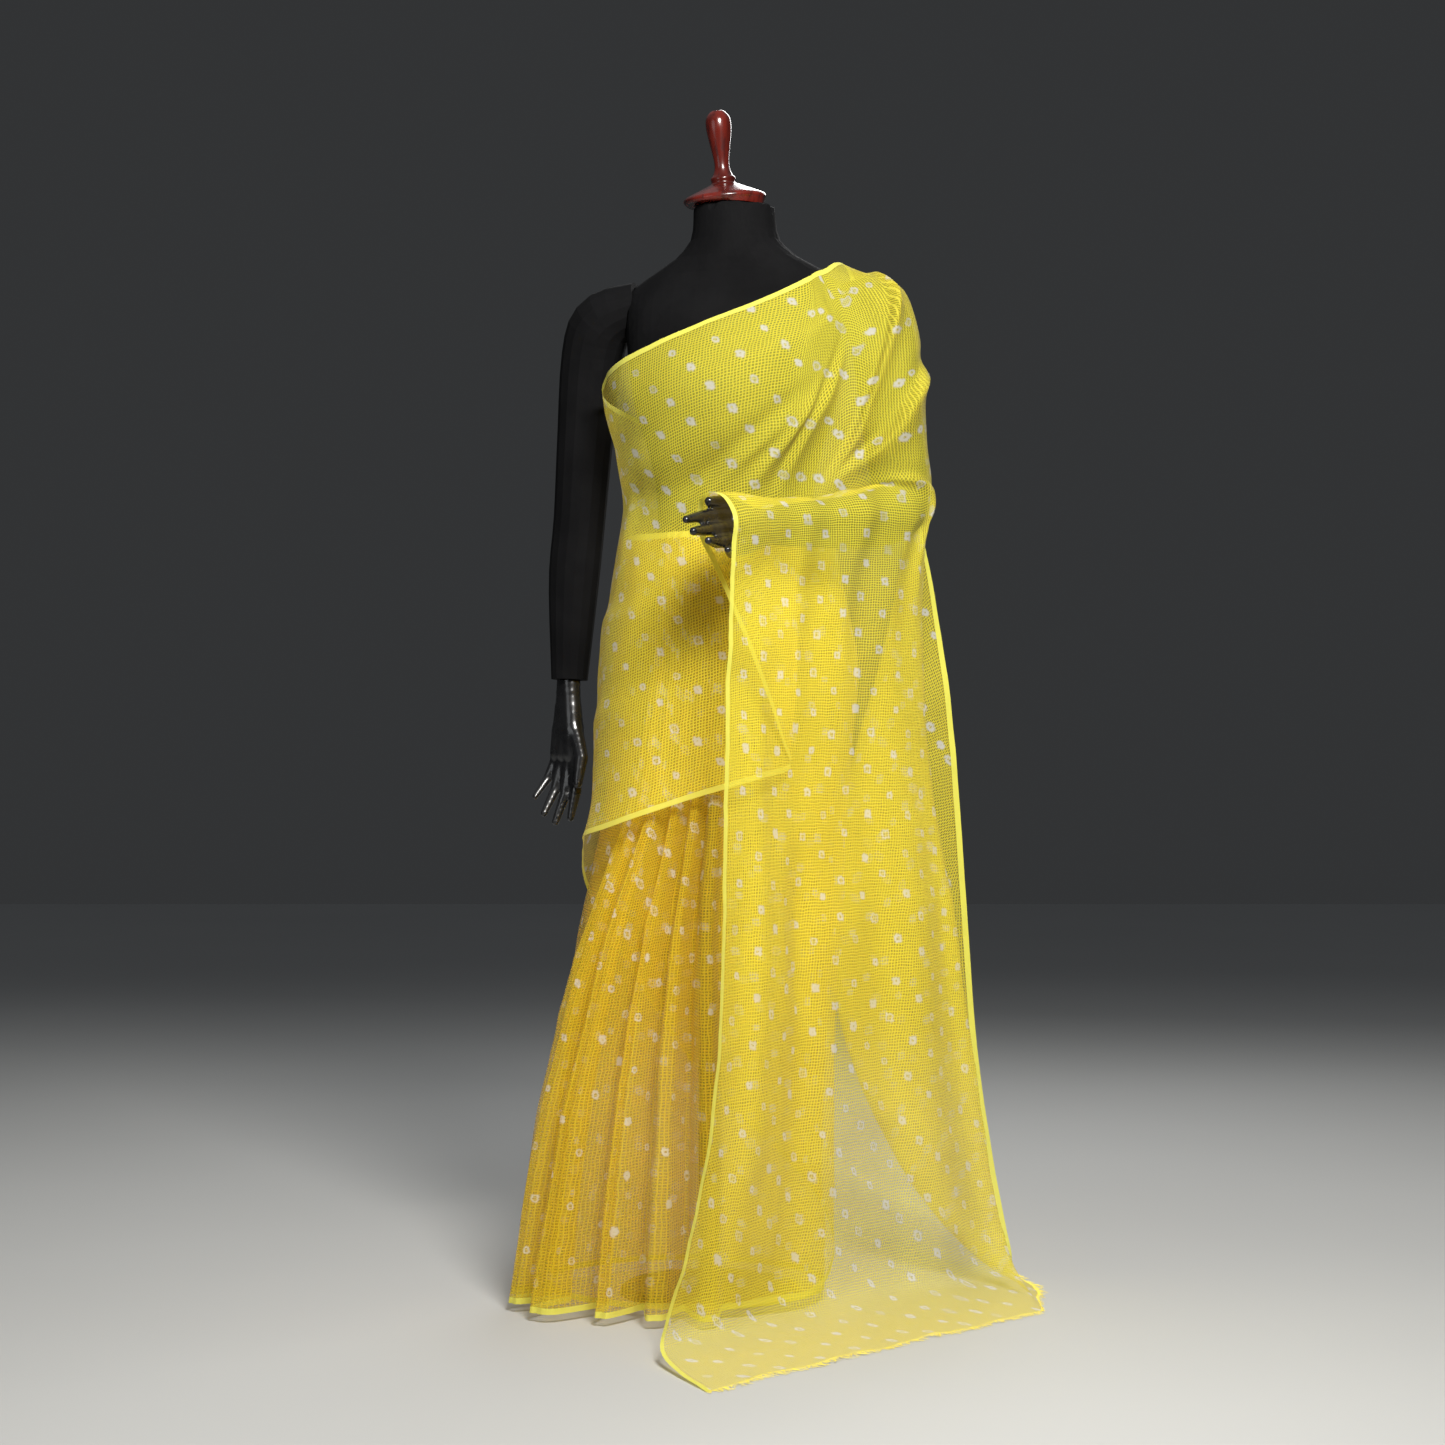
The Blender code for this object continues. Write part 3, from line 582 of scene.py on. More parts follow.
def ease_over_arm(columns, last_wrap, counts, guard):
    """Evens out the cloth from the chest to below the arm, and keeps it clear of both."""
    full = sum(counts[:len(ARM_TURNS) + 2])
    for _ in range(EASE_PASSES):
        before = [last_wrap, *[list(column) for column in columns]]
        for c in range(1, full + EASE_FADE):
            share = 0.5 * min(1.0, (full + EASE_FADE - c) / EASE_FADE)
            for r, spot in enumerate(before[c]):
                beside = [before[c - 1][r], before[c + 1][r]]
                if 0 < r < len(before[c]) - 1:
                    beside += [before[c][r - 1], before[c][r + 1]]
                spot = clear_of_arm(spot.lerp(sum(beside, Vector()) / len(beside), share), guard)
                columns[c - 1][r] = clear_of_body(spot) if c < counts[0] else spot


def sari_columns():
    columns = skirt_columns() + wrap_columns()
    return columns + fall_columns(columns[-1])


# Creases of the cloth: where each starts and ends, as a place along the length in columns of the
# model's cloth and a share across it, how wide it is in shares, and how high
CREASES = (
    # name, start column, start share, end column, end share, width, height
    ("chest, first", 75.8, 0.60, 81.5, 0.735, 0.024, 0.0090),
    ("chest, second", 78.0, 0.57, 82.0, 0.750, 0.020, 0.0085),
    ("chest, third", 79.4, 0.54, 84.0, 0.810, 0.022, 0.0090),
    ("under the bust", 73.0, 0.70, 79.0, 0.640, 0.045, -0.0100),
    ("under the other bust", 70.0, 0.76, 75.0, 0.700, 0.045, -0.0080),
    ("chest to the armpit", 76.0, 0.86, 86.0, 0.900, 0.022, 0.0045),
    ("upper arm, long fold", 82.5, 0.50, 90.0, 0.960, 0.016, 0.0150),
    ("upper arm, band", 83.0, 0.50, 92.0, 0.770, 0.018, 0.0160),
    ("upper arm, outer", 87.0, 0.84, 92.0, 0.900, 0.018, 0.0040),
    ("elbow", 86.0, 0.49, 96.0, 0.52, 0.020, 0.0080),
    ("forearm, near the elbow", 84.0, 0.41, 98.0, 0.44, 0.024, 0.0050),
    ("forearm, middle", 85.0, 0.30, 100.0, 0.34, 0.026, 0.0045),
    ("forearm, near the hand", 85.0, 0.16, 99.0, 0.21, 0.028, 0.0045),
    ("falling end, left", 94.0, 0.10, 109.0, 0.08, 0.026, 0.0045),
    ("falling end, crease across", 101.0, 0.10, 105.5, 0.44, 0.026, 0.0050),
    ("falling end, low crease", 104.5, 0.20, 108.0, 0.50, 0.024, 0.0045),
    ("wrap, front", 68.0, 0.30, 78.0, 0.22, 0.030, 0.0030),
    ("wrap, hip", 66.0, 0.55, 77.0, 0.42, 0.026, 0.0030),
)


def blend_shares(t):
    """The weights of four neighbours on a smooth curve that passes through them."""
    return (0.5 * (-t + 2 * t * t - t**3), 0.5 * (2 - 5 * t * t + 3 * t**3),
            0.5 * (t + 4 * t * t - 3 * t**3), 0.5 * (-t * t + t**3))


def finer(grid, times):
    """Rows of points with more rows between them, on smooth curves through the same points."""
    made = []
    last = len(grid) - 1
    for i in range(last):
        four = [grid[max(i - 1, 0)], grid[i], grid[i + 1], grid[min(i + 2, last)]]
        for k in range(times):
            made.append(sum(w * p for w, p in zip(blend_shares(k / times), four)))
    made.append(grid[last])
    return np.array(made)


def fine_cloth():
    """The cloth's points, FINE times closer than in the model, along and across."""
    grid = np.array([[tuple(p) for p in column] for column in sari_columns()])
    grid = finer(grid, FINE)
    return finer(grid.swapaxes(0, 1), FINE).swapaxes(0, 1)


def fine_shares():
    return finer(np.array(row_shares()), FINE)


def cloth_metres(grid):
    """How far each point is along the cloth, from border B and from border A."""
    along_steps = np.linalg.norm(np.diff(grid, axis=0), axis=2)
    quarter = grid.shape[1] // 4
    from_start = np.concatenate([[0], np.cumsum(along_steps[:, quarter:-quarter].mean(axis=1))])
    across_steps = np.linalg.norm(np.diff(grid, axis=1), axis=2)
    from_b = np.concatenate([np.zeros((len(grid), 1)), np.cumsum(across_steps, axis=1)], axis=1)
    from_a = from_b[:, -1:] - from_b
    return np.repeat(from_start[:, None], grid.shape[1], axis=1), from_b, from_a


def outward(grid):
    """The way that each point of the cloth faces, away from the form."""
    along_way = np.gradient(grid, axis=0)
    across_way = np.gradient(grid, axis=1)
    way = np.cross(along_way, across_way)
    return way / np.maximum(np.linalg.norm(way, axis=2, keepdims=True), 1e-9)


def crease_heights(grid):
    """Soft ridges along the main creases."""
    places = np.arange(len(grid)) / FINE
    shares = fine_shares()
    height = np.zeros(grid.shape[:2])
    for _, c0, v0, c1, v1, width, high in CREASES:
        t = (places - c0) / (c1 - c0)
        fade = np.clip(t * 4, 0, 1) * np.clip((1 - t) * 4, 0, 1)
        middle = v0 + (v1 - v0) * np.clip(t, 0, 1)
        off = (shares[None, :] - middle[:, None]) / width
        off = np.where(off > 0, off, off * CREASE_SLOPE)
        height += high * fade[:, None] * (np.exp(-np.abs(off)**1.5) - 0.40 * np.exp(-(off - 1.7)**2))
    return height


def least_heights(grid):
    """How far the cloth may sink: hardly at all where the arm lies right under it."""
    places = np.arange(len(grid)) / FINE
    low, high = ARM_COLUMNS
    over_arm = np.clip((places - low) / 2, 0, 1) * np.clip((high - places) / 2, 0, 1)
    return -(0.012 + (0.002 - 0.012) * over_arm)[:, None]


def stretches(grid, u, v):
    """How lengths along and across the map, and the angle between them, differ from the real cloth."""
    along_way, across_way = np.gradient(grid, axis=0), np.gradient(grid, axis=1)
    u_c, u_r = np.gradient(u, axis=0), np.gradient(u, axis=1)
    v_c, v_r = np.gradient(v, axis=0), np.gradient(v, axis=1)
    area = np.maximum(u_c * v_r - u_r * v_c, 1e-7)[:, :, None]
    way_u = (along_way * v_r[:, :, None] - across_way * v_c[:, :, None]) / area
    way_v = (across_way * u_c[:, :, None] - along_way * u_r[:, :, None]) / area
    uu = np.clip((way_u**2).sum(axis=2), 0.40, 6.0)
    vv = np.clip((way_v**2).sum(axis=2), 0.40, 6.0)
    uv = (way_u * way_v).sum(axis=2)
    bound = 0.65 * np.sqrt(uu * vv)
    return uu, np.clip(uv, -bound, bound), vv


def crumple(u, v):
    """Fine unevenness of thin cotton: long soft waves along the drape and small ones across."""
    long_wave = noise.noise(Vector((u * 5.0, v * 2.2, 0.3)))
    small = noise.noise(Vector((u * 19.0, v * 9.0, 4.1)))
    tiny = noise.noise(Vector((u * 52.0, v * 34.0, 8.7)))
    sharp = 0.22 - abs(noise.noise(Vector((u * 6.0 + v * 2.0, v * 6.5, 2.2))))
    return 0.0030 * long_wave + 0.0016 * small + 0.0006 * tiny + 0.0050 * sharp


def waver_end(grid, u, v):
    """The raw end is cut by eye, so it wavers along its length."""
    reach = u[-1:] - u
    near = np.clip(1 - reach / END_WAVER_REACH, 0, 1)**2
    waver = END_WAVER * (np.sin(v * 41.0) + 0.7 * np.sin(v * 23.0 + 1.3) + 0.5 * np.sin(v * 97.0 + 0.4))
    ahead = grid[-1] - grid[-4]
    ahead /= np.linalg.norm(ahead, axis=1, keepdims=True)
    return grid + ahead[None, :, :] * (near * waver)[:, :, None]


def make_cloth():
    grid = fine_cloth()
    u, v, w = cloth_metres(grid)
    grid = waver_end(grid, u, v)
    ways = outward(grid)
    rough = np.vectorize(crumple)(u, v)
    uu, uv, vv = stretches(grid, u, v)
    height = np.maximum(crease_heights(grid) + rough, least_heights(grid))
    grid = grid + ways * height[:, :, None]
    grid[:, :, 2] = np.maximum(grid[:, :, 2], FLOOR_LIFT)
    count, rows = grid.shape[:2]
    faces = [(c * rows + r, (c + 1) * rows + r, (c + 1) * rows + r + 1, c * rows + r + 1)
             for c in range(count - 1) for r in range(rows - 1)]
    mesh = mesh_from("sari_cloth", grid.reshape(-1, 3).tolist(), faces)
    mesh.shade_smooth()
    add_map(mesh, "cloth", u, v)
    add_map(mesh, "edges", w, uv)
    add_map(mesh, "stretch", uu, vv)
    return link("sari_cloth", mesh), grid, float(u[PLEAT_COLUMNS * FINE, 0])


def add_map(mesh, name, first, second):
    """A map whose two numbers are given at each point."""
    layer = mesh.uv_layers.new(name=name)
    pairs = np.stack([first.reshape(-1), second.reshape(-1)], axis=1)
    corners = np.empty(len(mesh.loops), dtype=np.int32)
    mesh.loops.foreach_get("vertex_index", corners)
    layer.data.foreach_set("uv", pairs[corners].reshape(-1).astype(np.float32))


def link(name, mesh):
    obj = bpy.data.objects.new(name, mesh)
    bpy.context.scene.collection.objects.link(obj)
    return obj


def make_end_threads(grid):
    """The raw end: loose threads that stand out past the last woven one."""
    rng = random.Random(SEED)
    edge = grid[-1]
    out = edge - grid[-3]
    steps = np.linalg.norm(np.diff(edge, axis=0), axis=1)
    reach = np.concatenate([[0], np.cumsum(steps)])
    points, faces = [], []
    at = 0.0
    while at < reach[-1]:
        k = min(int(np.searchsorted(reach, at, side="right")) - 1, len(edge) - 2)
        t = (at - reach[k]) / max(steps[k], 1e-6)
        root = Vector(edge[k] * (1 - t) + edge[k + 1] * t)
        ahead = Vector(out[k]).normalized()
        side = Vector(edge[k + 1] - edge[k]).normalized()
        add_thread(points, faces, root, ahead, side, rng)
        at += THREAD_PITCH * rng.uniform(0.5, 1.5)
    mesh = mesh_from("sari_end_threads", points, faces)
    return link("sari_end_threads", mesh)


def add_thread(points, faces, root, ahead, side, rng):
    length = rng.uniform(*THREAD_LENGTH)
    bend = rng.uniform(-1.1, 1.1)
    half = 0.00035
    start = len(points)
    for k in range(4):
        t = k / 3 - 0.1
        spot = root + ahead * (length * t) + side * (length * bend * t * t)
        spot.z = max(spot.z, FLOOR_LIFT)
        points.append(spot - side * half)
        points.append(spot + side * half + Vector((0, 0, 0.0002)))
    for k in range(3):
        a = start + 2 * k
        faces.append((a, a + 1, a + 3, a + 2))


class Nodes:
    """Short calls for a material's nodes."""

    def __init__(self, name):
        self.material = bpy.data.materials.new(name)
        self.material.use_nodes = True
        self.tree = self.material.node_tree
        self.tree.nodes.clear()
        self.out = self.tree.nodes.new("ShaderNodeOutputMaterial")

    def new(self, kind, **settings):
        node = self.tree.nodes.new(kind)
        for key, value in settings.items():
            setattr(node, key, value)
        return node

    def join(self, source, socket):
        if isinstance(source, bpy.types.NodeSocket):
            self.tree.links.new(source, socket)
        else:
            socket.default_value = source

    def maths(self, operation, *values, clamp=False):
        node = self.new("ShaderNodeMath", operation=operation, use_clamp=clamp)
        for socket, value in zip(node.inputs, values):
            self.join(value, socket)
        return node.outputs[0]

    def ramp(self, value, low, high, start=0.0, end=1.0):
        """A smooth rise from start to end while a value goes from low to high."""
        node = self.new("ShaderNodeMapRange", interpolation_type="SMOOTHSTEP")
        for socket, number in zip(node.inputs, (value, low, high, start, end)):
            self.join(number, socket)
        return node.outputs[0]

    def mix(self, share, first, second):
        node = self.new("ShaderNodeMix", data_type="RGBA")
        self.join(share, node.inputs[0])
        for value, socket in ((first, node.inputs[6]), (second, node.inputs[7])):
            self.join(value if isinstance(value, bpy.types.NodeSocket) else (*value, 1), socket)
        return node.outputs[2]

    def map_parts(self, name):
        uv = self.new("ShaderNodeUVMap", uv_map=name)
        parts = self.new("ShaderNodeSeparateXYZ")
        self.join(uv.outputs[0], parts.inputs[0])
        return parts.outputs[0], parts.outputs[1]

    def point(self, x, y, z=0.0):
        node = self.new("ShaderNodeCombineXYZ")
        for socket, value in zip(node.inputs, (x, y, z)):
            self.join(value, socket)
        return node.outputs[0]

    def cloud(self, at, scale, detail=2.0):
        node = self.new("ShaderNodeTexNoise", noise_dimensions="3D")
        self.join(at, node.inputs["Vector"])
        node.inputs["Scale"].default_value = scale
        node.inputs["Detail"].default_value = detail
        return node.outputs["Fac"], node.outputs["Color"]

    def bump(self, height, strength, distance):
        node = self.new("ShaderNodeBump")
        node.inputs["Strength"].default_value = strength
        node.inputs["Distance"].default_value = distance
        self.join(height, node.inputs["Height"])
        return node.outputs[0]


def thread_line(n, at, wobble):
    """1 on the thick threads of the check and 0 in the thin squares between them, one way."""
    place = n.maths("ADD", n.maths("DIVIDE", at, CHECK_PITCH), wobble)
    away = n.maths("ABSOLUTE", n.maths("SUBTRACT", n.maths("FRACT", place), 0.5))
    return n.ramp(away, CHECK_LINE / 2 - 0.05, CHECK_LINE / 2 + 0.05, 1.0, 0.0)


def dot_lattice(n, u, v, metric, shift):
    """One of the two staggered lattices of tied dots: how far from the dot's middle, in real metres."""
    across = n.maths("ADD", n.maths("DIVIDE", u, DOT_ALONG), shift)
    up = n.maths("ADD", n.maths("DIVIDE", v, DOT_ACROSS), shift)
    cell = n.point(n.maths("FLOOR", across), n.maths("FLOOR", up), shift)
    chance = n.new("ShaderNodeTexWhiteNoise", noise_dimensions="3D")
    n.join(cell, chance.inputs["Vector"])
    parts = n.new("ShaderNodeSeparateColor")
    n.join(chance.outputs["Color"], parts.inputs[0])
    a, b, c = parts.outputs
    x = n.maths("MULTIPLY", n.maths("SUBTRACT", n.maths("FRACT", across), 0.5), DOT_ALONG)
    y = n.maths("MULTIPLY", n.maths("SUBTRACT", n.maths("FRACT", up), 0.5), DOT_ACROSS)
    x = n.maths("ADD", x, n.maths("MULTIPLY", n.maths("SUBTRACT", a, 0.5), 0.010))
    y = n.maths("ADD", y, n.maths("MULTIPLY", n.maths("SUBTRACT", b, 0.5), 0.010))
    uu, uv, vv = metric
    cross = n.maths("MULTIPLY", x, y)
    square = n.maths("ADD", n.maths("MULTIPLY", n.maths("MULTIPLY", x, x), uu),
                     n.maths("ADD", n.maths("MULTIPLY", n.maths("MULTIPLY", y, y), vv),
                             n.maths("MULTIPLY", n.maths("MULTIPLY", cross, uv), 2.0)))
    square = n.maths("MAXIMUM", square, 1e-8)
    corner = n.maths("DIVIDE", cross, square)
    lobes = n.maths("ADD", 0.90, n.maths("MULTIPLY", n.maths("MULTIPLY", corner, corner), 0.70))
    size = n.maths("MULTIPLY", lobes, n.maths("ADD", 0.84, n.maths("MULTIPLY", c, 0.34)))
    return n.maths("DIVIDE", n.maths("SQRT", square), size), b


def dots(n, u, v, metric, ragged):
    """Where the tied dots are white."""
    white = None
    for shift in (0.0, 0.5):
        far, chance = dot_lattice(n, u, v, metric, shift)
        far = n.maths("ADD", far, n.maths("MULTIPLY", n.maths("SUBTRACT", ragged, 0.5), 0.0060))
        outer = n.ramp(far, DOT_RADIUS - 0.0018, DOT_RADIUS + 0.0012, 1.0, 0.0)
        hole_size = n.maths("MULTIPLY", chance, DOT_RADIUS - DOT_RING)
        hole = n.ramp(far, n.maths("SUBTRACT", hole_size, 0.0014), n.maths("ADD", hole_size, 0.0010), 0.0, 1.0)
        ring = n.maths("MULTIPLY", outer, n.maths("MAXIMUM", hole, 0.30))
        if shift:
            ring = n.maths("MULTIPLY", ring, n.ramp(metric[0], 0.45, 0.62))
        white = ring if white is None else n.maths("MAXIMUM", white, ring)
    return white


def cloth_material(pleats_end):
    n = Nodes("sheer_tied_cotton")
    u, v = n.map_parts("cloth")
    w, uv = n.map_parts("edges")
    uu, vv = n.map_parts("stretch")
    where = n.point(u, v)
    _, wave = n.cloud(where, 60.0, 1.0)
    parts = n.new("ShaderNodeSeparateColor")
    n.join(wave, parts.inputs[0])
    wobble = n.maths("MULTIPLY", n.maths("SUBTRACT", parts.outputs[0], 0.5), 0.9)
    wobble_2 = n.maths("MULTIPLY", n.maths("SUBTRACT", parts.outputs[1], 0.5), 0.8)
    lines = n.maths("MAXIMUM", thread_line(n, u, wobble), thread_line(n, v, wobble_2))
    edge_way = n.maths("MINIMUM", w, v)
    border = n.ramp(edge_way, BORDER_WIDTH - 0.0006, BORDER_WIDTH + 0.0006, 1.0, 0.0)
    inner_line = n.maths("MULTIPLY", n.ramp(edge_way, BORDER_WIDTH, BORDER_WIDTH + 0.0008, 0.0, 1.0),
                         n.ramp(edge_way, BORDER_WIDTH + 0.0012, BORDER_WIDTH + 0.0022, 1.0, 0.0))
    ragged, _ = n.cloud(where, 260.0, 1.0)
    white = dots(n, u, v, (uu, uv, vv), ragged)
    white = n.maths("MULTIPLY", white, n.maths("SUBTRACT", 1.0, border))
    uneven, _ = n.cloud(where, 7.0, 1.0)
    ground = n.mix(n.ramp(uneven, 0.35, 0.65), (0.86, 0.76, 0.040), (0.92, 0.82, 0.055))
    # Painted shade: the skirt and its pleats, up to pleats_end, get a darker, more orange ground and yarn
    painted_pleat_shade = n.ramp(u, pleats_end - 0.10, pleats_end + 0.10, 0.85, 0.0)
    ground = n.mix(painted_pleat_shade, ground, (0.62, 0.44, 0.010))
    yarn = n.mix(lines, ground, n.mix(painted_pleat_shade, (0.96, 0.88, 0.085), (0.70, 0.52, 0.018)))
    yarn = n.mix(n.maths("MULTIPLY", inner_line, 0.6), yarn, (0.60, 0.46, 0.010))
    yarn = n.mix(border, yarn, (0.86, 0.84, 0.130))
    colour = n.mix(n.maths("MULTIPLY", white, 0.88), yarn, (0.86, 0.84, 0.80))
    cover = n.maths("ADD", 0.36, n.maths("MULTIPLY", lines, 0.22))
    cover = n.maths("MAXIMUM", cover, n.maths("MULTIPLY", border, 0.90))
    cover = n.maths("MAXIMUM", cover, n.maths("MULTIPLY", white, 0.60))
    normal = n.bump(lines, 0.30, 0.0004)
    face = n.new("ShaderNodeBsdfPrincipled")
    n.join(colour, face.inputs["Base Color"])
    n.join(normal, face.inputs["Normal"])
    face.inputs["Roughness"].default_value = 0.80
    face.inputs["Specular IOR Level"].default_value = 0.25
    face.inputs["Sheen Weight"].default_value = 0.12
    glow = n.new("ShaderNodeBsdfTranslucent")
    warm = n.mix(white, n.mix(border, (0.97, 0.62, 0.010), (0.88, 0.76, 0.070)), (0.86, 0.84, 0.80))
    n.join(warm, glow.inputs["Color"])
    n.join(normal, glow.inputs["Normal"])
    cloth = n.new("ShaderNodeMixShader")
    cloth.inputs[0].default_value = 0.42
    n.join(face.outputs[0], cloth.inputs[1])
    n.join(glow.outputs[0], cloth.inputs[2])
    clear = n.new("ShaderNodeBsdfTransparent")
    sheer = n.new("ShaderNodeMixShader")
    n.join(cover, sheer.inputs[0])
    n.join(clear.outputs[0], sheer.inputs[1])
    n.join(cloth.outputs[0], sheer.inputs[2])
    n.join(sheer.outputs[0], n.out.inputs[0])
    return n.material


def thread_material():
    n = Nodes("loose_threads")
    place = n.new("ShaderNodeNewGeometry")
    tone, _ = n.cloud(place.outputs["Position"], 120.0, 2.0)
    face = n.new("ShaderNodeBsdfPrincipled")
    n.join(n.mix(tone, (0.80, 0.62, 0.02), (0.92, 0.82, 0.10)), face.inputs["Base Color"])
    face.inputs["Roughness"].default_value = 0.8
    n.join(face.outputs[0], n.out.inputs[0])
    return n.material


def object_place(n):
    return n.new("ShaderNodeTexCoord").outputs["Object"]


def cover_material():
    """Matte black stretch knit over the form, with fine ribs and a little lint."""
    n = Nodes("black_knit_cover")
    at = object_place(n)
    weave = n.new("ShaderNodeTexWave", wave_type="BANDS", bands_direction="X")
    n.join(at, weave.inputs["Vector"])
    weave.inputs["Scale"].default_value = 190.0
    weave.inputs["Distortion"].default_value = 1.2
    weave.inputs["Detail"].default_value = 1.0
    lint, _ = n.cloud(at, 700.0, 2.0)
    tone, _ = n.cloud(at, 14.0, 3.0)
    face = n.new("ShaderNodeBsdfPrincipled")
    colour = n.mix(n.ramp(tone, 0.3, 0.7), (0.0024, 0.0024, 0.0028), (0.0045, 0.0045, 0.0050))
    n.join(n.mix(n.ramp(lint, 0.68, 0.82, 0.0, 0.25), colour, (0.020, 0.020, 0.021)), face.inputs["Base Color"])
    n.join(n.ramp(lint, 0.3, 0.7, 0.80, 0.95), face.inputs["Roughness"])
    n.join(n.bump(n.maths("ADD", weave.outputs["Fac"], lint), 0.25, 0.0004), face.inputs["Normal"])
    face.inputs["Specular IOR Level"].default_value = 0.08
    n.join(face.outputs[0], n.out.inputs[0])
    return n.material


def gloss_material():
    """Glossy black moulding with faint smears."""
    n = Nodes("gloss_black_moulding")
    at = object_place(n)
    smear, _ = n.cloud(at, 22.0, 4.0)
    dimple, _ = n.cloud(at, 240.0, 2.0)
    face = n.new("ShaderNodeBsdfPrincipled")
    n.join(n.mix(smear, (0.0040, 0.0040, 0.0045), (0.0080, 0.0080, 0.0085)), face.inputs["Base Color"])
    n.join(n.ramp(smear, 0.35, 0.70, 0.20, 0.36), face.inputs["Roughness"])
    n.join(n.bump(dimple, 0.06, 0.0003), face.inputs["Normal"])
    face.inputs["Coat Weight"].default_value = 0.3
    face.inputs["Coat Roughness"].default_value = 0.15
    n.join(face.outputs[0], n.out.inputs[0])
    return n.material


def wood_material():
    """Turned wood under dark red lacquer: long grain, darker in the grooves."""
    n = Nodes("red_lacquered_wood")
    at = object_place(n)
    stretch = n.new("ShaderNodeMapping")
    n.join(at, stretch.inputs["Vector"])
    stretch.inputs["Scale"].default_value = (1.0, 1.0, 0.14)
    grain, _ = n.cloud(stretch.outputs[0], 150.0, 5.0)
    streak, _ = n.cloud(stretch.outputs[0], 34.0, 3.0)
    colour = n.mix(n.ramp(streak, 0.3, 0.7), (0.026, 0.003, 0.002), (0.105, 0.010, 0.006))
    colour = n.mix(n.ramp(grain, 0.50, 0.68, 0.0, 0.65), colour, (0.018, 0.002, 0.002))
    face = n.new("ShaderNodeBsdfPrincipled")
    n.join(colour, face.inputs["Base Color"])
    n.join(n.ramp(grain, 0.3, 0.7, 0.18, 0.32), face.inputs["Roughness"])
    n.join(n.bump(grain, 0.10, 0.0005), face.inputs["Normal"])
    face.inputs["Specular IOR Level"].default_value = 0.35
    face.inputs["Coat Weight"].default_value = 0.25
    face.inputs["Coat Roughness"].default_value = 0.08
    n.join(face.outputs[0], n.out.inputs[0])
    return n.material


def metal_material():
    """Satin black paint on the stand, with fine orange peel and rubbed specks."""
    n = Nodes("satin_black_paint")
    at = object_place(n)
    peel, _ = n.cloud(at, 420.0, 2.0)
    rub, _ = n.cloud(at, 38.0, 5.0)
    face = n.new("ShaderNodeBsdfPrincipled")
    n.join(n.mix(n.ramp(rub, 0.62, 0.75), (0.020, 0.020, 0.021), (0.060, 0.058, 0.055)), face.inputs["Base Color"])
    n.join(n.ramp(rub, 0.3, 0.7, 0.30, 0.48), face.inputs["Roughness"])
    n.join(n.bump(peel, 0.18, 0.0004), face.inputs["Normal"])
    n.join(face.outputs[0], n.out.inputs[0])
    return n.material


def studio_material():
    """A pale floor whose colour darkens softly away from the form: a painted fall-off of light."""
    n = Nodes("studio_painted_falloff")
    place = n.new("ShaderNodeNewGeometry").outputs["Position"]
    away = n.new("ShaderNodeVectorMath", operation="LENGTH")
    n.join(place, away.inputs[0])
    tone, _ = n.cloud(place, 0.9, 3.0)
    near = n.mix(tone, (0.40, 0.40, 0.39), (0.44, 0.44, 0.43))
    far = n.mix(tone, (0.145, 0.148, 0.150), (0.160, 0.163, 0.165))
    # Painted light fall-off: pale near the form, dark far away
    colour = n.mix(n.ramp(away.outputs["Value"], FLOOR_PAINTED_LIGHT_TO, FLOOR_PAINTED_DARK_FROM), near, far)
    face = n.new("ShaderNodeBsdfPrincipled")
    n.join(colour, face.inputs["Base Color"])
    face.inputs["Roughness"].default_value = 0.8
    face.inputs["Specular IOR Level"].default_value = 0.2
    n.join(face.outputs[0], n.out.inputs[0])
    return n.material


def dress_node(frame, name, material, rounds):
    """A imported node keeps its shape, welded and rounded, and gets a finer material."""
    obj = frame["nodes"][name]
    obj.data.materials.clear()
    obj.data.materials.append(material)
    if rounds:
        weld = obj.modifiers.new("weld", "WELD")
        weld.merge_threshold = 0.00005
        smooth = obj.modifiers.new("round", "SUBSURF")
        smooth.levels = rounds
        smooth.render_levels = rounds


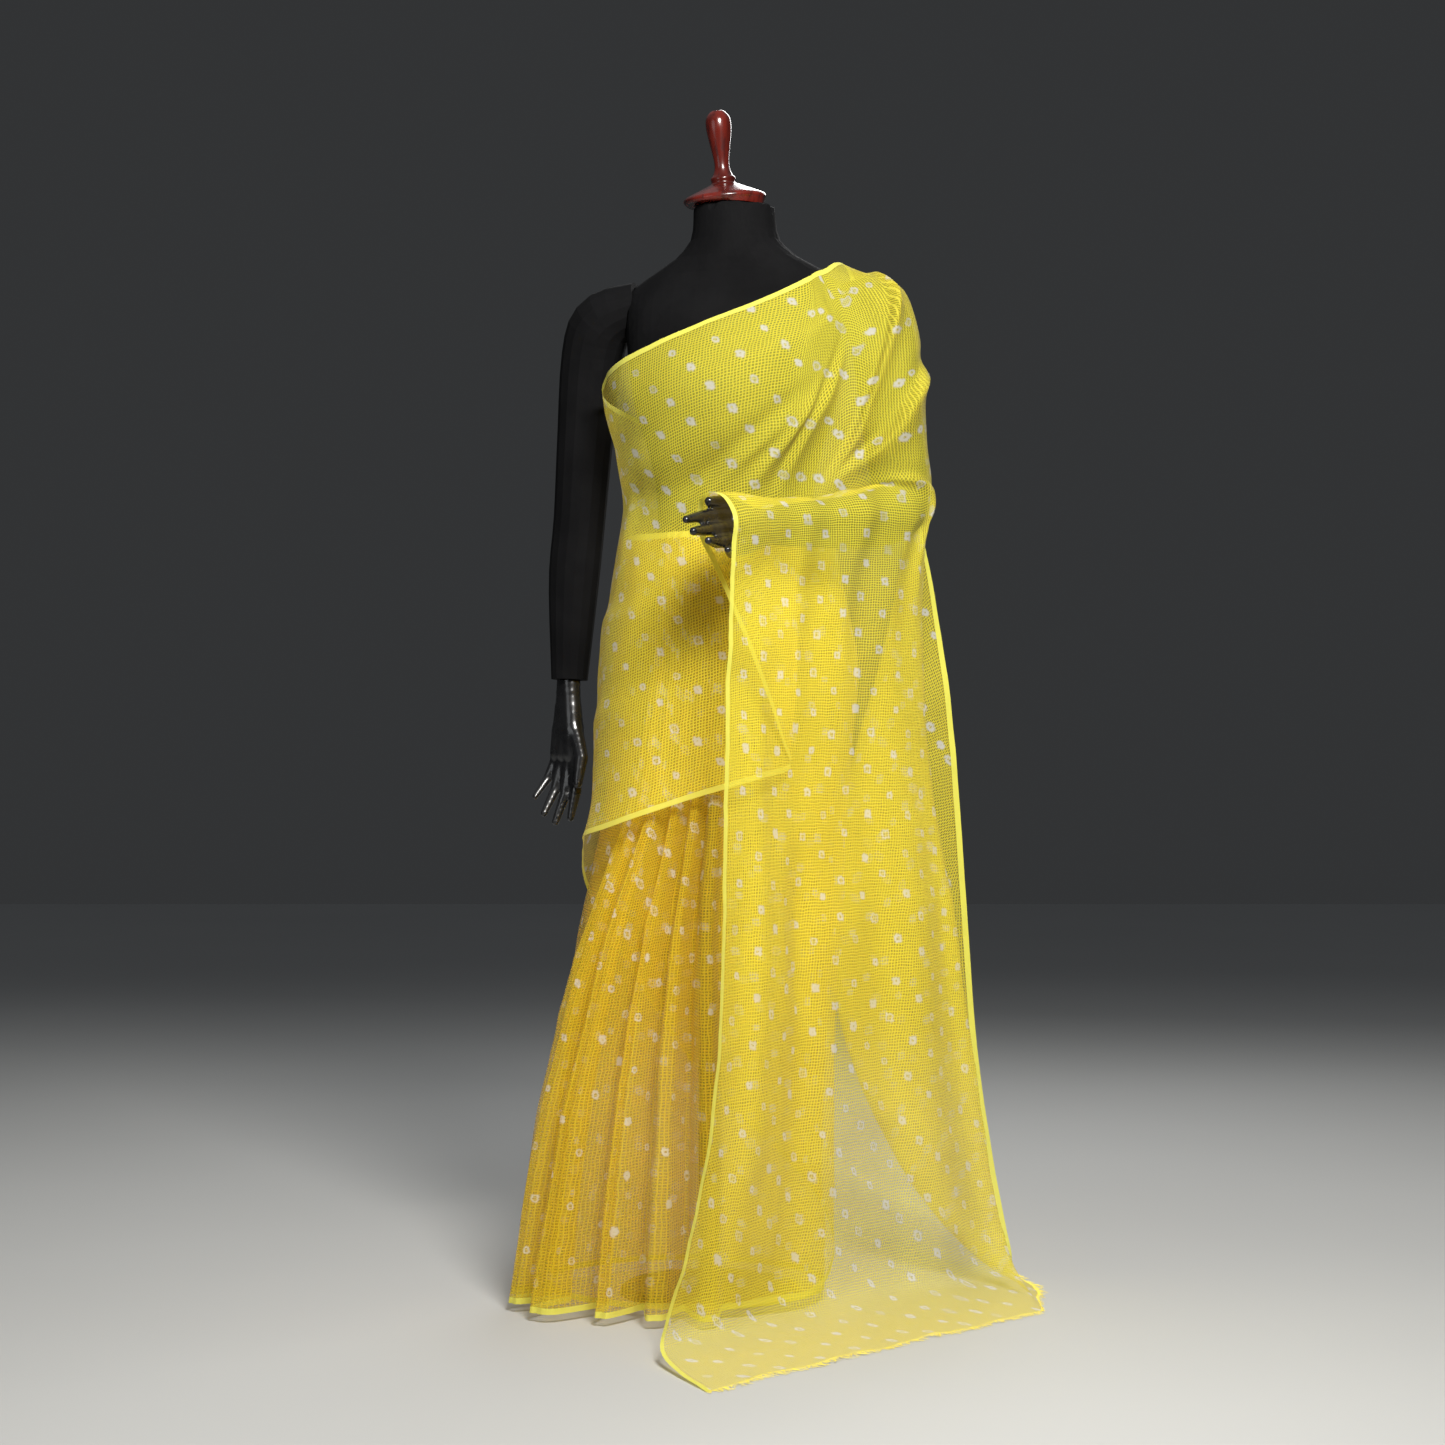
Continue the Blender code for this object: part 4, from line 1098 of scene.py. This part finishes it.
def make_hand(name, wrist, ahead, thumb_way, mirror, cut_at, cut_way):
    """The model's hand again, smoother, with slimmer joints."""
    ahead = Vector(ahead).normalized()
    thumb_way = Vector(thumb_way)
    thumb_way = (thumb_way - ahead * thumb_way.dot(ahead)).normalized()
    palm_way = ahead.cross(thumb_way) * mirror

    def place(along_hand, across, curl):
        return wrist + ahead * along_hand + thumb_way * across + palm_way * curl

    bm = bmesh.new()
    for row, nxt in zip(PALM, PALM[1:]):
        for shift in (-0.010, 0.000, 0.010):
            bone(bm, place(row[1], row[2] + shift * (1 + row[1] * 12), 0),
                 place(nxt[1], nxt[2] + shift * (1 + nxt[1] * 12), 0), row[3] * 0.88, nxt[3] * 0.82)
    for _, root, r_side, knuckle, k_side, tip, t_side, radius, curl in FINGERS:
        bone(bm, place(root, r_side, 0), place(knuckle, k_side, curl * 0.35), radius * 1.42, radius * 1.20)
        bone(bm, place(knuckle, k_side, curl * 0.35), place(tip, t_side, curl), radius * 1.20, radius * 0.86)
    mesh = bpy.data.meshes.new(name)
    bm.to_mesh(mesh)
    bm.free()
    hand = link(name, mesh)
    skin = hand.modifiers.new("one skin", "REMESH")
    skin.mode = "VOXEL"
    skin.voxel_size = 0.0022
    ease = hand.modifiers.new("ease", "SMOOTH")
    ease.factor = 0.5
    ease.iterations = 14
    depsgraph = bpy.context.evaluated_depsgraph_get()
    full = bpy.data.meshes.new_from_object(hand.evaluated_get(depsgraph))
    hand.modifiers.clear()
    bm = bmesh.new()
    bm.from_mesh(full)
    cut = bmesh.ops.bisect_plane(bm, geom=bm.verts[:] + bm.edges[:] + bm.faces[:], plane_co=cut_at,
                                 plane_no=cut_way, clear_inner=True)
    edges = [e for e in cut["geom_cut"] if isinstance(e, bmesh.types.BMEdge)]
    bmesh.ops.edgeloop_fill(bm, edges=edges)
    bmesh.ops.recalc_face_normals(bm, faces=bm.faces)
    bm.to_mesh(full)
    bm.free()
    full.shade_smooth()
    hand.data = full
    return hand


def make_cap(sides):
    """The plate and finial again, turned with more steps so that their curves are smooth."""
    axis = Vector((-math.sin(CAP_LEAN), -math.sin(CAP_LEAN) * 0.6, 1)).normalized()
    side = axis.cross(Vector((0, 1, 0))).normalized()
    other = axis.cross(side)
    foot = Vector((CAP_CENTRE[0], CAP_CENTRE[1], NECK_TOP + PIECE_GAP))
    base = foot + Vector((0, 0, CAP_PROFILE[0][1] * math.tan(CAP_LEAN) * 1.25))
    turns = [2 * math.pi * k / sides for k in range(sides)]
    rings = [[foot + CAP_PROFILE[0][1] * 0.96 * Vector((math.cos(a), -math.sin(a), 0)) for a in turns]]
    keys = list(range(len(CAP_PROFILE)))
    for at in spread(0, keys[-1], 6 * keys[-1] + 1):
        i = min(int(at), keys[-1] - 1)
        up, radius = (curve_through([p[c] for p in CAP_PROFILE], keys, i, at) for c in (0, 1))
        rings.append([base + axis * up + max(radius, 0.001) * (math.cos(a) * side * -1 + math.sin(a) * other)
                      for a in turns])
    mesh = ring_mesh("cap_turned", rings)
    mesh.shade_smooth()
    mesh.set_sharp_from_angle(angle=math.radians(60))
    return link("cap_turned", mesh)


def make_studio():
    """One flat floor, open on all sides so that the object is seen from behind too."""
    points = [(x * FLOOR_HALF, y * FLOOR_HALF, 0.0) for x, y in ((-1, -1), (1, -1), (1, 1), (-1, 1))]
    studio = link("studio", mesh_from("studio", points, [(0, 1, 2, 3)]))
    studio.data.materials.append(studio_material())


def add_light(name, place, aim, size, power, colour=(1, 1, 1)):
    lamp = bpy.data.lights.new(name, "AREA")
    lamp.shape = "DISK"
    lamp.size = size
    lamp.energy = power
    lamp.color = colour
    obj = bpy.data.objects.new(name, lamp)
    bpy.context.scene.collection.objects.link(obj)
    obj.location = place
    obj.rotation_euler = (Vector(aim) - Vector(place)).to_track_quat("-Z", "Y").to_euler()


def light_and_camera():
    world = bpy.data.worlds.new("studio_light")
    bpy.context.scene.world = world
    world.use_nodes = True
    sky = world.node_tree.nodes["Background"]
    sky.inputs["Color"].default_value = (0.92, 0.96, 1.00, 1)
    parts = world.node_tree.nodes.new("ShaderNodeSeparateXYZ")
    rise = world.node_tree.nodes.new("ShaderNodeMapRange")
    place = world.node_tree.nodes.new("ShaderNodeTexCoord")
    world.node_tree.links.new(place.outputs["Generated"], parts.inputs[0])
    world.node_tree.links.new(parts.outputs["Z"], rise.inputs["Value"])
    world.node_tree.links.new(rise.outputs["Result"], sky.inputs["Strength"])
    for name, value in (("From Min", 0.25), ("From Max", 0.70), ("To Min", SKY_DARK), ("To Max", SKY_LIGHT)):
        rise.inputs[name].default_value = value
    add_light("key", (0.42, -2.00, 2.25), (0.0, -0.15, 1.00), 0.7, 118, (1.0, 0.98, 0.94))
    add_light("fill", (-2.8, -2.6, 1.6), (0, 0, 0.9), 2.0, 16, (0.95, 0.98, 1.0))
    add_light("back", (0.6, 2.3, 2.6), (0, 0, 1.0), 1.4, 36)
    bpy.context.scene.view_settings.view_transform = "Standard"
    camera = bpy.data.cameras.new("view")
    camera.lens = CAMERA_LENS
    obj = bpy.data.objects.new("view", camera)
    bpy.context.scene.collection.objects.link(obj)
    obj.location = CAMERA_PLACE
    obj.rotation_euler = (math.radians(90), 0, 0)
    bpy.context.scene.camera = obj


def main():
    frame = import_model()
    light_and_camera()
    make_studio()
    cover, gloss, wood, paint = cover_material(), gloss_material(), wood_material(), metal_material()
    dress_node(frame, "form_body", cover, 1)
    dress_node(frame, "arm_right", cover, 0)
    dress_node(frame, "arm_left", cover, 0)
    dress_node(frame, "stand_pole", paint, 0)
    dress_node(frame, "stand_base", paint, 0)

    cloth, grid, pleats_end = make_cloth()
    cloth.data.materials.append(cloth_material(pleats_end))
    threads = make_end_threads(grid)
    threads.data.materials.append(thread_material())
    for piece in (cloth, threads):
        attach(piece, "root")
    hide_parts("sari")

    end, hang = tube_end(ARM_RIGHT)
    hand = make_hand("hand_right_fine", end + hang * 0.045, hang + Vector((0.03, 0.02, 0)),
                     (0.60, -0.75, 0), 1, end + hang * PIECE_GAP, hang)
    finish_piece(hand, "hand_right", gloss)
    end, reach = tube_end(ARM_LEFT)
    hand = make_hand("hand_left_fine", end + reach * 0.014, reach + Vector((0, 0, -0.08)),
                     (-0.25, 0.2, 1.0), -1, end + reach * PIECE_GAP, reach)
    finish_piece(hand, "hand_left", gloss)
    finish_piece(make_cap(72), "neck_cap", wood)


def finish_piece(piece, node, material):
    piece.data.materials.append(material)
    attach(piece, "root")
    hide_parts(node)


main()
